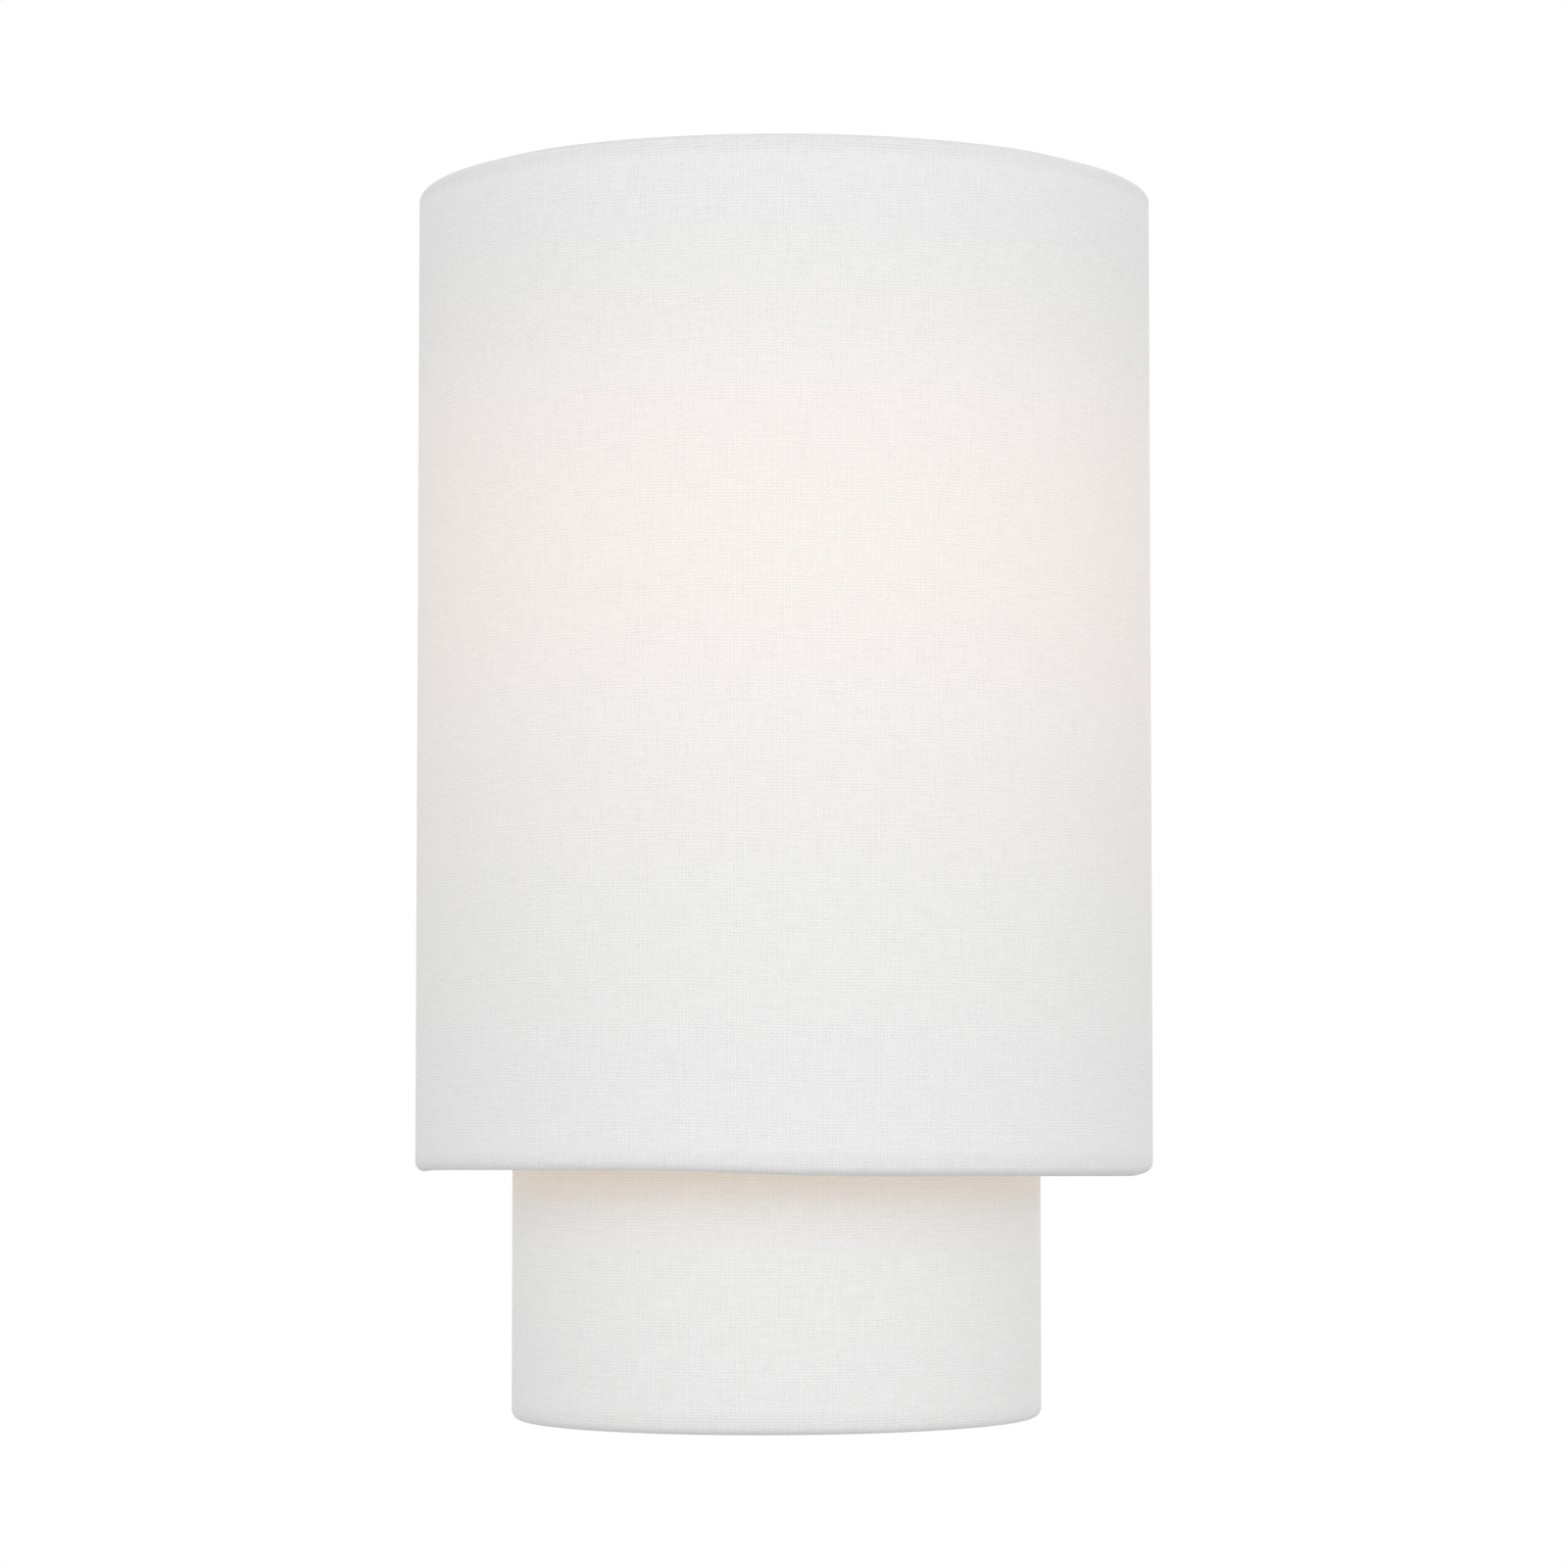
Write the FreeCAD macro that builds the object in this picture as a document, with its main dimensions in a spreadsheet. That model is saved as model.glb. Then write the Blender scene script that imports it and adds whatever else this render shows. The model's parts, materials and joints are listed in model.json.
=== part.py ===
import FreeCAD, Part
import math
import os
import re
import Sketcher

# Fabric shade wall light: two half-round cloth tiers on a wire frame, hung on a wall pan with a lamp inside.
# Millimetres. The wall is the plane y = 0 and the light stands out of it along -Y. +Z is up, and the origin
# is the centre of the outlet box, half way up the upper tier.

Vec = FreeCAD.Vector

SIZES = {
    # cloth tiers, over the cloth
    "outer_radius": 101.6,
    "outer_height": 271,
    "inner_radius": 72.8,
    "inner_height": 90,
    "inner_drop": 69,  # lower tier's hem below the upper tier's
    "inner_shift": 2.1,  # lower tier sits this far left of the middle
    "wrap_angle": 178,  # degrees of plan that cloth, lining and bowed wires cover
    "cloth_thickness": 0.6,
    "liner_thickness": 0.4,
    "hem_turn_in": 12,  # cloth turned in below a ring's centre
    # wire frame
    "ring_wire_radius": 2,
    "stay_wire_radius": 1.8,
    "stay_clearance": 0.1,  # stay to lining
    "slit_clearance": 0.4,  # cloth and lining to the bars and stays that pass
    "spacer_wire_radius": 1.5,
    "spacer_bend": 6,
    "spacer_angle": 90,  # between the two spacers
    "bar_setback": 4,  # rear bars and stays, from the wall to their middle
    # back plate
    "pan_width": 114,
    "pan_margin": 11,  # pan beyond the studs and thumb screws
    "pan_depth": 20,
    "pan_wall": 1,
    "pan_corner": 10,
    "pan_edge": 2.5,
    # mounting strap and its fasteners
    "strap_length": 106,
    "strap_width": 19,
    "strap_thickness": 1.6,
    "box_screw_spacing": 88.9,
    "box_slot_length": 10,
    "box_slot_width": 4.4,
    "stud_spacing": 56,
    "stud_radius": 2.1,
    "stud_reach": 6,  # stud beyond the back plate's face
    "cap_nut_flats": 8.7,
    "cap_nut_hex": 4,
    "cap_nut_dome": 3.8,
    "cap_nut_height": 8.6,
    "thread_clearance": 0.05,
    "ground_screw_offset": 14,
    "ground_head_radius": 4,
    "ground_head_height": 2.4,
    # keyhole tabs, shoulder studs and thumb screws
    "tab_offset": 40,  # tabs from the middle
    "tab_width": 20,
    "tab_thickness": 1.2,
    "tab_bend": 1.5,
    "hook_inset": 31.5,  # studs and thumb screws, from the upper tier's hems
    "tab_margin": 5,  # metal past a keyhole
    "shade_lift": 12,
    "part_gap": 0.3,  # between parts that come apart
    "shoulder_radius": 2,
    "shoulder_head_radius": 4.5,
    "shoulder_head_height": 1.5,
    "shoulder_foot_radius": 3.5,
    "shoulder_foot_height": 1,
    "thumb_shank_radius": 1.95,
    "thumb_head_radius": 6,
    "thumb_head_height": 8,
    "thumb_chamfer": 0.8,
    "thumb_running_clearance": 0.08,
    "washer_radius": 5.5,
    "washer_thickness": 0.8,
    "press_nut_radius": 4.5,
    "press_nut_height": 3.5,
    # lamp bracket
    "lamp_reach": 56,  # wall to the lamp's axis
    "bracket_rise": 50,  # bracket's top above the pan's lower edge
    "bracket_width": 30,
    "bracket_thickness": 1.6,
    "bracket_bend": 2,
    "bracket_upstand": 28,
    "bracket_nose": 18,  # bracket beyond the lamp's axis
    "bracket_nose_corner": 7,
    "rivet_spacing": 18,
    "rivet_rise": 18,  # rivets above the bracket's top
    "rivet_radius": 1.6,
    "rivet_head_radius": 3,
    "rivet_head_height": 1.1,
    # lamp holder
    "holder_radius": 18.5,
    "holder_height": 40,
    "holder_floor": 12,
    "holder_bore": 14,
    "holder_lip": 1.5,
    "shell_thickness": 0.4,
    "shell_clearance": 0.1,
    "shell_height": 26,
    "shell_mouth": 10,  # radius of the hole in the shell's floor
    "contact_height": 4,
    "contact_width": 6,
    "contact_thickness": 0.6,
    "contact_arm": 4,
    "nipple_radius": 4.9,
    "nipple_bore": 3.5,
    "nipple_seat": 6,  # nipple inside the holder's floor
    "nipple_drop": 8,  # nipple below the bracket's top
    "lock_nut_flats": 14,
    "lock_nut_height": 4,
    "wire_screw_height": 8,  # wire screws above the holder's foot
    "wire_screw_radius": 1.5,
    "wire_screw_head_radius": 3.2,
    "wire_screw_head_height": 1.8,
    "wire_screw_length": 5,
    # lamp
    "bulb_radius": 30,
    "bulb_length": 110,
    "bulb_neck_radius": 13.8,
    "bulb_neck_bend": 20,
    "glass_thickness": 0.8,
    "cap_radius": 13.05,
    "cap_height": 21,
    "cap_thickness": 0.3,
    "cap_taper": 3,
    "insulator_height": 3.5,
    "insulator_radius": 10,
    "tip_radius": 4.8,
    "tip_height": 1.8,
    "stem_radius": 4.5,
    "stem_foot_radius": 12,
    "stem_height": 34,
    "support_radius": 0.5,
    "support_offset": 3.4,  # support wires from the lamp's axis
    "support_height": 18,
    "filament_wire_radius": 0.5,
    # connector block and leads
    "block_width": 36,
    "block_height": 18,
    "block_depth": 12,
    "block_rise": 17,  # block's middle above the pan's lower edge
    "pole_spacing": 11,
    "pole_bore": 3,
    "insert_bore": 1.7,
    "insert_height": 14,
    "clamp_radius": 1.4,
    "clamp_spacing": 8,
    "clamp_depth": 4,
    "clamp_sink": 0.8,  # clamp screws below the block's face
    "clamp_well_radius": 2,
    "block_screw_radius": 1.5,
    "block_screw_head_radius": 2.6,
    "block_screw_head_height": 1.6,
    "grommet_rise": 41,  # above the pan's lower edge
    "grommet_bore": 2.9,
    "grommet_neck": 4.5,
    "grommet_flange": 6.5,
    "grommet_flange_height": 1.8,
    "lead_radius": 1.2,
    "lead_pitch": 2.6,  # between the two leads in the grommet
    "lead_entry": 6,  # lead inside the block
}

HEM = "(ring_wire_radius + cloth_thickness)"
HOOK_HEIGHT = "(outer_height / 2 - hook_inset)"
PAN_FOOT = f"({HOOK_HEIGHT} + pan_margin)"
BRACKET_DROP = f"({PAN_FOOT} - bracket_rise)"
BLOCK_DROP = f"({PAN_FOOT} - block_rise)"
GROMMET_DROP = f"({PAN_FOOT} - grommet_rise)"
LINING = "(cloth_thickness + liner_thickness)"
INNER_Z = "(-outer_height / 2 - inner_drop + inner_height / 2)"
OUTER_BAR_Z = f"(outer_height / 2 - {HEM})"
PAN_INSIDE = "(pan_depth - pan_wall)"
TAB_FRONT = "(pan_depth + part_gap + tab_thickness)"
SLOT_RADIUS = "(shoulder_radius + part_gap)"
SHELL_OUTSIDE = "(holder_bore - shell_clearance)"
CONTACT_TOP = "(holder_floor + contact_height)"
POLE_DEPTH = f"({PAN_INSIDE} - block_depth / 2)"

doc = FreeCAD.newDocument("WallLight")
sheet = doc.addObject("Spreadsheet::Sheet", "Sizes")
for row, (alias, size) in enumerate(SIZES.items(), start=1):
    sheet.set(f"A{row}", str(size))
    sheet.setAlias(f"A{row}", alias)
doc.recompute()

ALIASES = re.compile(r"\b(" + "|".join(SIZES) + r")\b")
nodes = []


def value(expression):
    """The number that an expression of the sheet's sizes gives."""
    return float(sheet.evalExpression(str(expression)))


def bound(expression):
    """The same expression, as another object reads it."""
    return ALIASES.sub(r"Sizes.\1", str(expression))


def bind(thing, **properties):
    for name, expression in properties.items():
        thing.setExpression(name.replace("__", "."), bound(expression))


# Bodies, sketches and the features made from them


def new_body(label, x="0", y="0", z="0"):
    body = doc.addObject("PartDesign::Body", "Body")
    body.Label = label
    body.AllowCompound = True
    bind(body, Placement__Base__x=x, Placement__Base__y=y, Placement__Base__z=z)
    return body


def new_sketch(body, plane):
    sketch = body.newObject("Sketcher::SketchObject", "Sketch")
    support = next(f for f in body.Origin.OriginFeatures if f.Role == plane)
    sketch.AttachmentSupport = (support, [""])
    sketch.MapMode = "FlatFace"
    return sketch


def dimension(sketch, kind, expression, *geometry):
    """Adds one constraint and ties it to the sheet."""
    amount = value(expression)
    index = sketch.addConstraint(Sketcher.Constraint(kind, *geometry, amount))
    sketch.setExpression(f"Constraints[{index}]", bound(expression))


def fix_point(sketch, curve, end, x, y):
    dimension(sketch, "DistanceX", x, -1, 1, curve, end)
    dimension(sketch, "DistanceY", y, -1, 1, curve, end)


def circle(sketch, x, y, radius):
    centre = Vec(value(x), value(y), 0)
    curve = sketch.addGeometry(Part.Circle(centre, Vec(0, 0, 1), value(radius)), False)
    fix_point(sketch, curve, 3, x, y)
    dimension(sketch, "Radius", radius, curve)


def outline(sketch, corners):
    """A closed outline. A corner is (x, y), or (x, y, centre x, centre y, turn) where an arc runs from it
    to the next corner, turning +1 to the left or -1 to the right."""
    ends = []
    for corner, following in zip(corners, corners[1:] + corners[:1]):
        start = Vec(value(corner[0]), value(corner[1]), 0)
        stop = Vec(value(following[0]), value(following[1]), 0)
        if len(corner) == 2:
            curve = sketch.addGeometry(Part.LineSegment(start, stop), False)
            ends.append((curve, 1, 2))
            continue
        centre_x, centre_y, turn = corner[2:]
        centre = Vec(value(centre_x), value(centre_y), 0)
        first, last = (start, stop) if turn > 0 else (stop, start)
        angles = [math.atan2(p.y - centre.y, p.x - centre.x) for p in (first, last)]
        rim = Part.Circle(centre, Vec(0, 0, 1), (start - centre).Length)
        curve = sketch.addGeometry(Part.ArcOfCircle(rim, *angles), False)
        # Its ends leave the centre free along one line only, so one coordinate of the centre fixes the arc.
        if abs(stop.x - start.x) > abs(stop.y - start.y):
            dimension(sketch, "DistanceY", centre_y, -1, 1, curve, 3)
        else:
            dimension(sketch, "DistanceX", centre_x, -1, 1, curve, 3)
        ends.append((curve, 1, 2) if turn > 0 else (curve, 2, 1))
    for (curve, _, end), (following, start, _) in zip(ends, ends[1:] + ends[:1]):
        sketch.addConstraint(Sketcher.Constraint("Coincident", curve, end, following, start))
    for (curve, start, _), corner in zip(ends, corners):
        fix_point(sketch, curve, start, corner[0], corner[1])


def rectangle(sketch, x0, y0, x1, y1):
    outline(sketch, [(x0, y0), (x1, y0), (x1, y1), (x0, y1)])


def rounded_rectangle(sketch, width, height, corner):
    x, y = f"{width} / 2", f"{height} / 2"
    near_x, near_y = f"({x} - {corner})", f"({y} - {corner})"
    outline(
        sketch,
        [
            (f"-{near_x}", f"-{y}"),
            (near_x, f"-{y}", near_x, f"-{near_y}", 1),
            (x, f"-{near_y}"),
            (x, near_y, near_x, near_y, 1),
            (near_x, y),
            (f"-{near_x}", y, f"-{near_x}", near_y, 1),
            (f"-{x}", near_y),
            (f"-{x}", f"-{near_y}", f"-{near_x}", f"-{near_y}", 1),
        ],
    )


def level_slot(sketch, x, length, width):
    """A round-ended slot along the sketch's x axis, centred on (x, 0)."""
    left, right = f"({x} - ({length} - {width}) / 2)", f"({x} + ({length} - {width}) / 2)"
    radius = f"{width} / 2"
    outline(
        sketch,
        [
            (left, f"-{radius}"),
            (right, f"-{radius}", right, "0", 1),
            (right, radius),
            (left, radius, left, "0", 1),
        ],
    )


def upright_slot(sketch, x, low, high, radius):
    """A round-ended slot along the sketch's y axis, between two centres."""
    left, right = f"({x} - {radius})", f"({x} + {radius})"
    outline(
        sketch,
        [
            (right, low),
            (right, high, x, high, 1),
            (left, high),
            (left, low, x, low, 1),
        ],
    )


def hexagon(sketch, flats):
    """A hexagon about the sketch's origin, with two flats level."""
    half, reach = f"{flats} / 2", f"{flats} / sqrt(3)"
    outline(
        sketch,
        [
            (reach, "0"),
            (f"{reach} / 2", half),
            (f"-{reach} / 2", half),
            (f"-{reach}", "0"),
            (f"-{reach} / 2", f"-{half}"),
            (f"{reach} / 2", f"-{half}"),
        ],
    )


def angle_outline(sketch, corner, along, thickness, bend):
    """An L of bent sheet. corner is its outer corner; along is each leg's signed length from that corner."""
    (x, y), (leg_x, leg_y) = corner, along
    side_x = math.copysign(1, value(leg_x))
    side_y = math.copysign(1, value(leg_y))
    turn = 1 if side_x * side_y > 0 else -1
    outer = f"({bend} + {thickness})"
    outer_x, outer_y = f"({x} + {side_x} * {outer})", f"({y} + {side_y} * {outer})"
    skin_x, skin_y = f"({x} + {side_x} * {thickness})", f"({y} + {side_y} * {thickness})"
    end_x, end_y = f"({x} + {leg_x})", f"({y} + {leg_y})"
    outline(
        sketch,
        [
            (end_x, y),
            (outer_x, y, outer_x, outer_y, -turn),
            (x, outer_y),
            (x, end_y),
            (skin_x, end_y),
            (skin_x, outer_y, outer_x, outer_y, turn),
            (outer_x, skin_y),
            (end_x, skin_y),
        ],
    )


def pad(body, sketch, length, both_ways=False):
    feature = body.newObject("PartDesign::Pad", "Pad")
    feature.Profile = sketch
    feature.Midplane = both_ways
    bind(feature, Length=length)
    return feature


def cut_through(body, sketch, length):
    """Cuts the sketch's outlines out of the body, as far to either side as half the length."""
    feature = body.newObject("PartDesign::Pocket", "Cut")
    feature.Profile = sketch
    feature.Midplane = True
    bind(feature, Length=length)
    return feature


def cut_to_wall(body, sketch, length):
    """Cuts from the sketch's plane towards the wall only."""
    feature = body.newObject("PartDesign::Pocket", "Cut")
    feature.Profile = sketch
    bind(feature, Length=length)
    return feature


def revolve(body, sketch, axis="V_Axis", angle="360"):
    feature = body.newObject("PartDesign::Revolution", "Turned")
    feature.Profile = sketch
    feature.ReferenceAxis = (sketch, [axis])
    feature.Midplane = True
    bind(feature, Angle=angle)
    return feature


def turned(label, plane, corners, axis="V_Axis", **place):
    """A piece turned about the plane's upright or level axis."""
    body = new_body(label, **place)
    sketch = new_sketch(body, plane)
    outline(sketch, corners)
    revolve(body, sketch, axis)
    return body


def ring_corners(inner, outer, low, high):
    return [(inner, low), (outer, low), (outer, high), (inner, high)]


def keep(node):
    nodes.append(node)
    return node


def pair(label, right):
    """The piece at the right and its mirror image at the left, as one node."""
    left = doc.addObject("Part::Mirroring", "Left")
    left.Source = right
    left.Normal = Vec(1, 0, 0)
    both = doc.addObject("Part::Compound", "Pair")
    both.Links = [right, left]
    right.Label = f"{label} right"
    left.Label = f"{label} left"
    both.Label = label
    return keep(both)


# Cloth tiers


def stay_place(radius):
    """Where a tier's stays stand: against the lining, over the rear bars."""
    reach = f"({radius} - {LINING} - stay_clearance - stay_wire_radius)"
    return f"sqrt({reach} * {reach} - bar_setback * bar_setback)", "-bar_setback"


def cloth_tier(label, radius, height, x, z):
    """Cloth bent round the tier, rolled over the wire in each hem and turned in against the lining. What is
    turned in stops short of the rear bars and stays."""
    body = new_body(label, x=x, z=z)
    ring_z = f"({height} / 2 - {HEM})"
    wire, cloth = "ring_wire_radius", "cloth_thickness"
    face, skin = f"-({radius})", f"-({radius} - {cloth})"
    ring, back = f"-({radius} - {HEM})", f"-({radius} - 2 * {HEM})"
    back_skin = f"-({radius} - 2 * {HEM} + {cloth})"
    flap, flap_skin = f"-({radius} - {LINING})", f"-({radius} - {LINING} - {cloth})"
    under, press = f"({ring_z} - {wire})", f"({ring_z} - 3 * {wire})"
    end = f"({ring_z} - hem_turn_in)"
    sketch = new_sketch(body, "YZ_Plane")
    outline(
        sketch,
        [
            (face, f"-{ring_z}"),
            (face, ring_z, ring, ring_z, -1),
            (back, ring_z),
            (back, under),
            (flap_skin, press),
            (flap_skin, end),
            (flap, end),
            (flap, press),
            (back_skin, under),
            (back_skin, ring_z, ring, ring_z, 1),
            (skin, ring_z),
            (skin, f"-{ring_z}", ring, f"-{ring_z}", 1),
            (back_skin, f"-{ring_z}"),
            (back_skin, f"-{under}"),
            (flap, f"-{press}"),
            (flap, f"-{end}"),
            (flap_skin, f"-{end}"),
            (flap_skin, f"-{press}"),
            (back, f"-{under}"),
            (back, f"-{ring_z}", ring, f"-{ring_z}", -1),
        ],
    )
    revolve(body, sketch, angle="wrap_angle")
    slits = new_sketch(body, "XY_Plane")
    near = f"({radius} - 2 * {HEM} - slit_clearance)"
    far = f"({stay_place(radius)[0]} + stay_wire_radius + stay_clearance)"
    depth = "-(bar_setback + ring_wire_radius + slit_clearance)"
    rectangle(slits, near, depth, far, "0")
    rectangle(slits, f"-{far}", depth, f"-{near}", "0")
    cut_through(body, slits, f"2 * {height}")
    return keep(body)


def bar_notch(body):
    """Notches the lower tier's rear edges where the upper tier's bottom bar passes."""
    room = "(ring_wire_radius + slit_clearance)"
    bar = f"(-{OUTER_BAR_Z} - {INNER_Z})"
    sketch = new_sketch(body, "YZ_Plane")
    rectangle(sketch, f"-(bar_setback + {room})", f"{bar} - {room}", "0", f"{bar} + {room}")
    cut_through(body, sketch, "4 * inner_radius")


def lining(label, radius, height, x, z):
    body = new_body(label, x=x, z=z)
    sketch = new_sketch(body, "YZ_Plane")
    top = f"({height} / 2 - {HEM} - ring_wire_radius)"
    corners = ring_corners(f"-({radius} - {LINING})", f"-({radius} - cloth_thickness)", f"-{top}", top)
    outline(sketch, corners)
    revolve(body, sketch, angle="wrap_angle")
    return keep(body)


def wire_ring(label, radius, x, z, bar=True):
    """A bowed wire in a hem, with a straight bar across its back."""
    body = new_body(label, x=x, z=z)
    sketch = new_sketch(body, "YZ_Plane")
    circle(sketch, f"-({radius} - {HEM})", "0", "ring_wire_radius")
    revolve(body, sketch, angle="wrap_angle")
    if bar:
        section = new_sketch(body, "YZ_Plane")
        circle(section, "-bar_setback", "0", "ring_wire_radius")
        reach = f"({radius} - {HEM})"
        pad(body, section, f"2 * sqrt({reach} * {reach} - bar_setback * bar_setback)", both_ways=True)
    return keep(body)


def stays(label, radius, x, spans):
    """Upright wires at both rear edges. spans holds each length's foot and head."""
    group = []
    for low, high in spans:
        body = new_body(label, x=x, z=low)
        sketch = new_sketch(body, "XY_Plane")
        stay_x, stay_y = stay_place(radius)
        for side in ("", "-"):
            circle(sketch, f"{side}{stay_x}", stay_y, "stay_wire_radius")
        pad(body, sketch, f"{high} - {low}")
        group.append(body)
    if len(group) == 1:
        return keep(group[0])
    for number, body in enumerate(group):
        body.Label = f"{label} length {number + 1}"
    joined = doc.addObject("Part::Compound", "Stays")
    joined.Links = group
    joined.Label = label
    return keep(joined)


def tier_spacers():
    """Two bent wires that stand on the upper tier's lower ring and reach over the lower tier's top hem."""
    body = new_body("tier_spacers", z=f"-{OUTER_BAR_Z}")
    foot = f"-(outer_radius - 2 * {HEM} - spacer_wire_radius)"
    tip = f"-(inner_radius - {HEM})"
    level = f"({OUTER_BAR_Z} + {INNER_Z} + inner_height / 2 + spacer_wire_radius)"
    rise, run = f"({level} - spacer_bend)", f"({foot} + spacer_bend)"
    path = new_sketch(body, "YZ_Plane")
    upright = Part.LineSegment(Vec(value(foot), 0, 0), Vec(value(foot), value(rise), 0))
    centre = Vec(value(run), value(rise), 0)
    bend = Part.ArcOfCircle(Part.Circle(centre, Vec(0, 0, 1), value("spacer_bend")), math.pi / 2, math.pi)
    arm = Part.LineSegment(Vec(value(run), value(level), 0), Vec(value(tip), value(level), 0))
    path.addGeometry([upright, bend, arm], False)
    path.addConstraint(Sketcher.Constraint("Coincident", 0, 2, 1, 2))
    path.addConstraint(Sketcher.Constraint("Coincident", 1, 1, 2, 1))
    fix_point(path, 0, 1, foot, "0")
    fix_point(path, 0, 2, foot, rise)
    fix_point(path, 2, 1, run, level)
    fix_point(path, 2, 2, tip, level)
    dimension(path, "Radius", "spacer_bend", 1)
    section = new_sketch(body, "XY_Plane")
    circle(section, "0", foot, "spacer_wire_radius")
    doc.recompute()
    pipe = body.newObject("PartDesign::AdditivePipe", "Pipe")
    pipe.Profile = section
    pipe.Spine = (path, [f"Edge{number}" for number in (1, 2, 3)])
    pattern = body.newObject("PartDesign::PolarPattern", "Turns")
    pattern.Originals = [pipe]
    pattern.Axis = (section, ["N_Axis"])
    pattern.Occurrences = 2
    bind(pattern, Angle="spacer_angle")
    body.Tip = pattern
    turn = FreeCAD.Rotation(Vec(0, 0, 1), -value("spacer_angle") / 2)
    body.Placement.Rotation = turn
    return keep(body)


def keyhole_tab(label, low):
    """A bent tab welded to a rear bar, with a keyhole in front of the back plate. It hangs from the top
    bar, or where low is true stands on the bottom one."""
    bar = f"({OUTER_BAR_Z} - ring_wire_radius)"
    hook = f"-{HOOK_HEIGHT}" if low else HOOK_HEIGHT
    entry = "thumb_head_radius + part_gap" if low else "shoulder_head_radius + part_gap"
    above = f"({SLOT_RADIUS} + tab_margin)"
    below = f"(shade_lift + {entry} + tab_margin)"
    corner_z = f"-{bar}" if low else bar
    leg = f"({bar} - {HOOK_HEIGHT} + {above})" if low else f"-({bar} - {HOOK_HEIGHT} + {below})"
    rear = "(bar_setback - ring_wire_radius)"
    body = new_body(label, x="tab_offset")
    side = new_sketch(body, "YZ_Plane")
    angle_outline(side, (f"-{TAB_FRONT}", corner_z), (f"({TAB_FRONT} - {rear})", leg), "tab_thickness", "tab_bend")
    pad(body, side, "tab_width", both_ways=True)
    slot = new_sketch(body, "XZ_Plane")
    upright_slot(slot, "0", f"({hook} - shade_lift)", hook, SLOT_RADIUS)
    cut_through(body, slot, "4 * pan_depth")
    mouth = new_sketch(body, "XZ_Plane")
    circle(mouth, "0", f"{hook} - shade_lift", entry)
    cut_through(body, mouth, "4 * pan_depth")
    return pair(label, body)


def shade():
    inner_ring = f"(inner_height / 2 - {HEM})"
    inner_x = "-inner_shift"
    cloth_tier("outer_shade", "outer_radius", "outer_height", "0", "0")
    lining("outer_liner", "outer_radius", "outer_height", "0", "0")
    bar_notch(cloth_tier("inner_shade", "inner_radius", "inner_height", inner_x, INNER_Z))
    bar_notch(lining("inner_liner", "inner_radius", "inner_height", inner_x, INNER_Z))
    wire_ring("outer_top_ring", "outer_radius", "0", OUTER_BAR_Z)
    wire_ring("outer_bottom_ring", "outer_radius", "0", f"-{OUTER_BAR_Z}")
    wire_ring("inner_top_ring", "inner_radius", inner_x, f"{INNER_Z} + {inner_ring}", bar=False)
    wire_ring("inner_bottom_ring", "inner_radius", inner_x, f"{INNER_Z} - {inner_ring}")
    reach = f"({OUTER_BAR_Z} - ring_wire_radius)"
    stays("outer_stays", "outer_radius", "0", [(f"-{reach}", reach)])
    bar_foot, bar_head = f"(-{OUTER_BAR_Z} - ring_wire_radius)", f"(-{OUTER_BAR_Z} + ring_wire_radius)"
    inner_foot = f"({INNER_Z} - {inner_ring} + ring_wire_radius)"
    inner_head = f"({INNER_Z} + {inner_ring} - ring_wire_radius)"
    stays("inner_stays", "inner_radius", inner_x, [(inner_foot, bar_foot), (bar_head, inner_head)])
    tier_spacers()
    keyhole_tab("hanger_tabs", low=False)
    keyhole_tab("lock_tabs", low=True)


# Wall side


def back_plate():
    """A drawn steel pan, open to the wall, with the holes for all that it carries."""
    body = new_body("back_plate")
    face = new_sketch(body, "XZ_Plane")
    rounded_rectangle(face, "pan_width", f"(2 * {PAN_FOOT})", "pan_corner")
    block = pad(body, face, "pan_depth")
    doc.recompute()
    front = -value("pan_depth")
    rim = [
        f"Edge{number}"
        for number, edge in enumerate(block.Shape.Edges, start=1)
        if abs(edge.BoundBox.YMin - front) < 1e-6 and abs(edge.BoundBox.YMax - front) < 1e-6
    ]
    rounded = body.newObject("PartDesign::Fillet", "Edge")
    rounded.Base = (block, rim)
    bind(rounded, Radius="pan_edge")
    doc.recompute()
    open_side = [
        f"Face{number}"
        for number, side in enumerate(rounded.Shape.Faces, start=1)
        if abs(side.BoundBox.YMin) < 1e-6 and abs(side.BoundBox.YMax) < 1e-6
    ]
    hollow = body.newObject("PartDesign::Thickness", "Hollow")
    hollow.Base = (rounded, open_side)
    hollow.Reversed = True
    hollow.Join = 0
    bind(hollow, Value="pan_wall")
    doc.recompute()
    holes = new_sketch(body, "XZ_Plane")
    for side in ("", "-"):
        circle(holes, f"{side}stud_spacing / 2", "0", "stud_radius")
        circle(holes, f"{side}tab_offset", HOOK_HEIGHT, "shoulder_radius")
        circle(holes, f"{side}tab_offset", f"-{HOOK_HEIGHT}", "thumb_shank_radius + part_gap")
        circle(holes, f"{side}rivet_spacing / 2", f"rivet_rise - {BRACKET_DROP}", "rivet_radius")
    circle(holes, "0", f"-{GROMMET_DROP}", "grommet_neck")
    circle(holes, "pole_spacing / 2", f"-{BLOCK_DROP}", "block_screw_radius")
    cut_through(body, holes, "4 * pan_depth")
    return keep(body)


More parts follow.
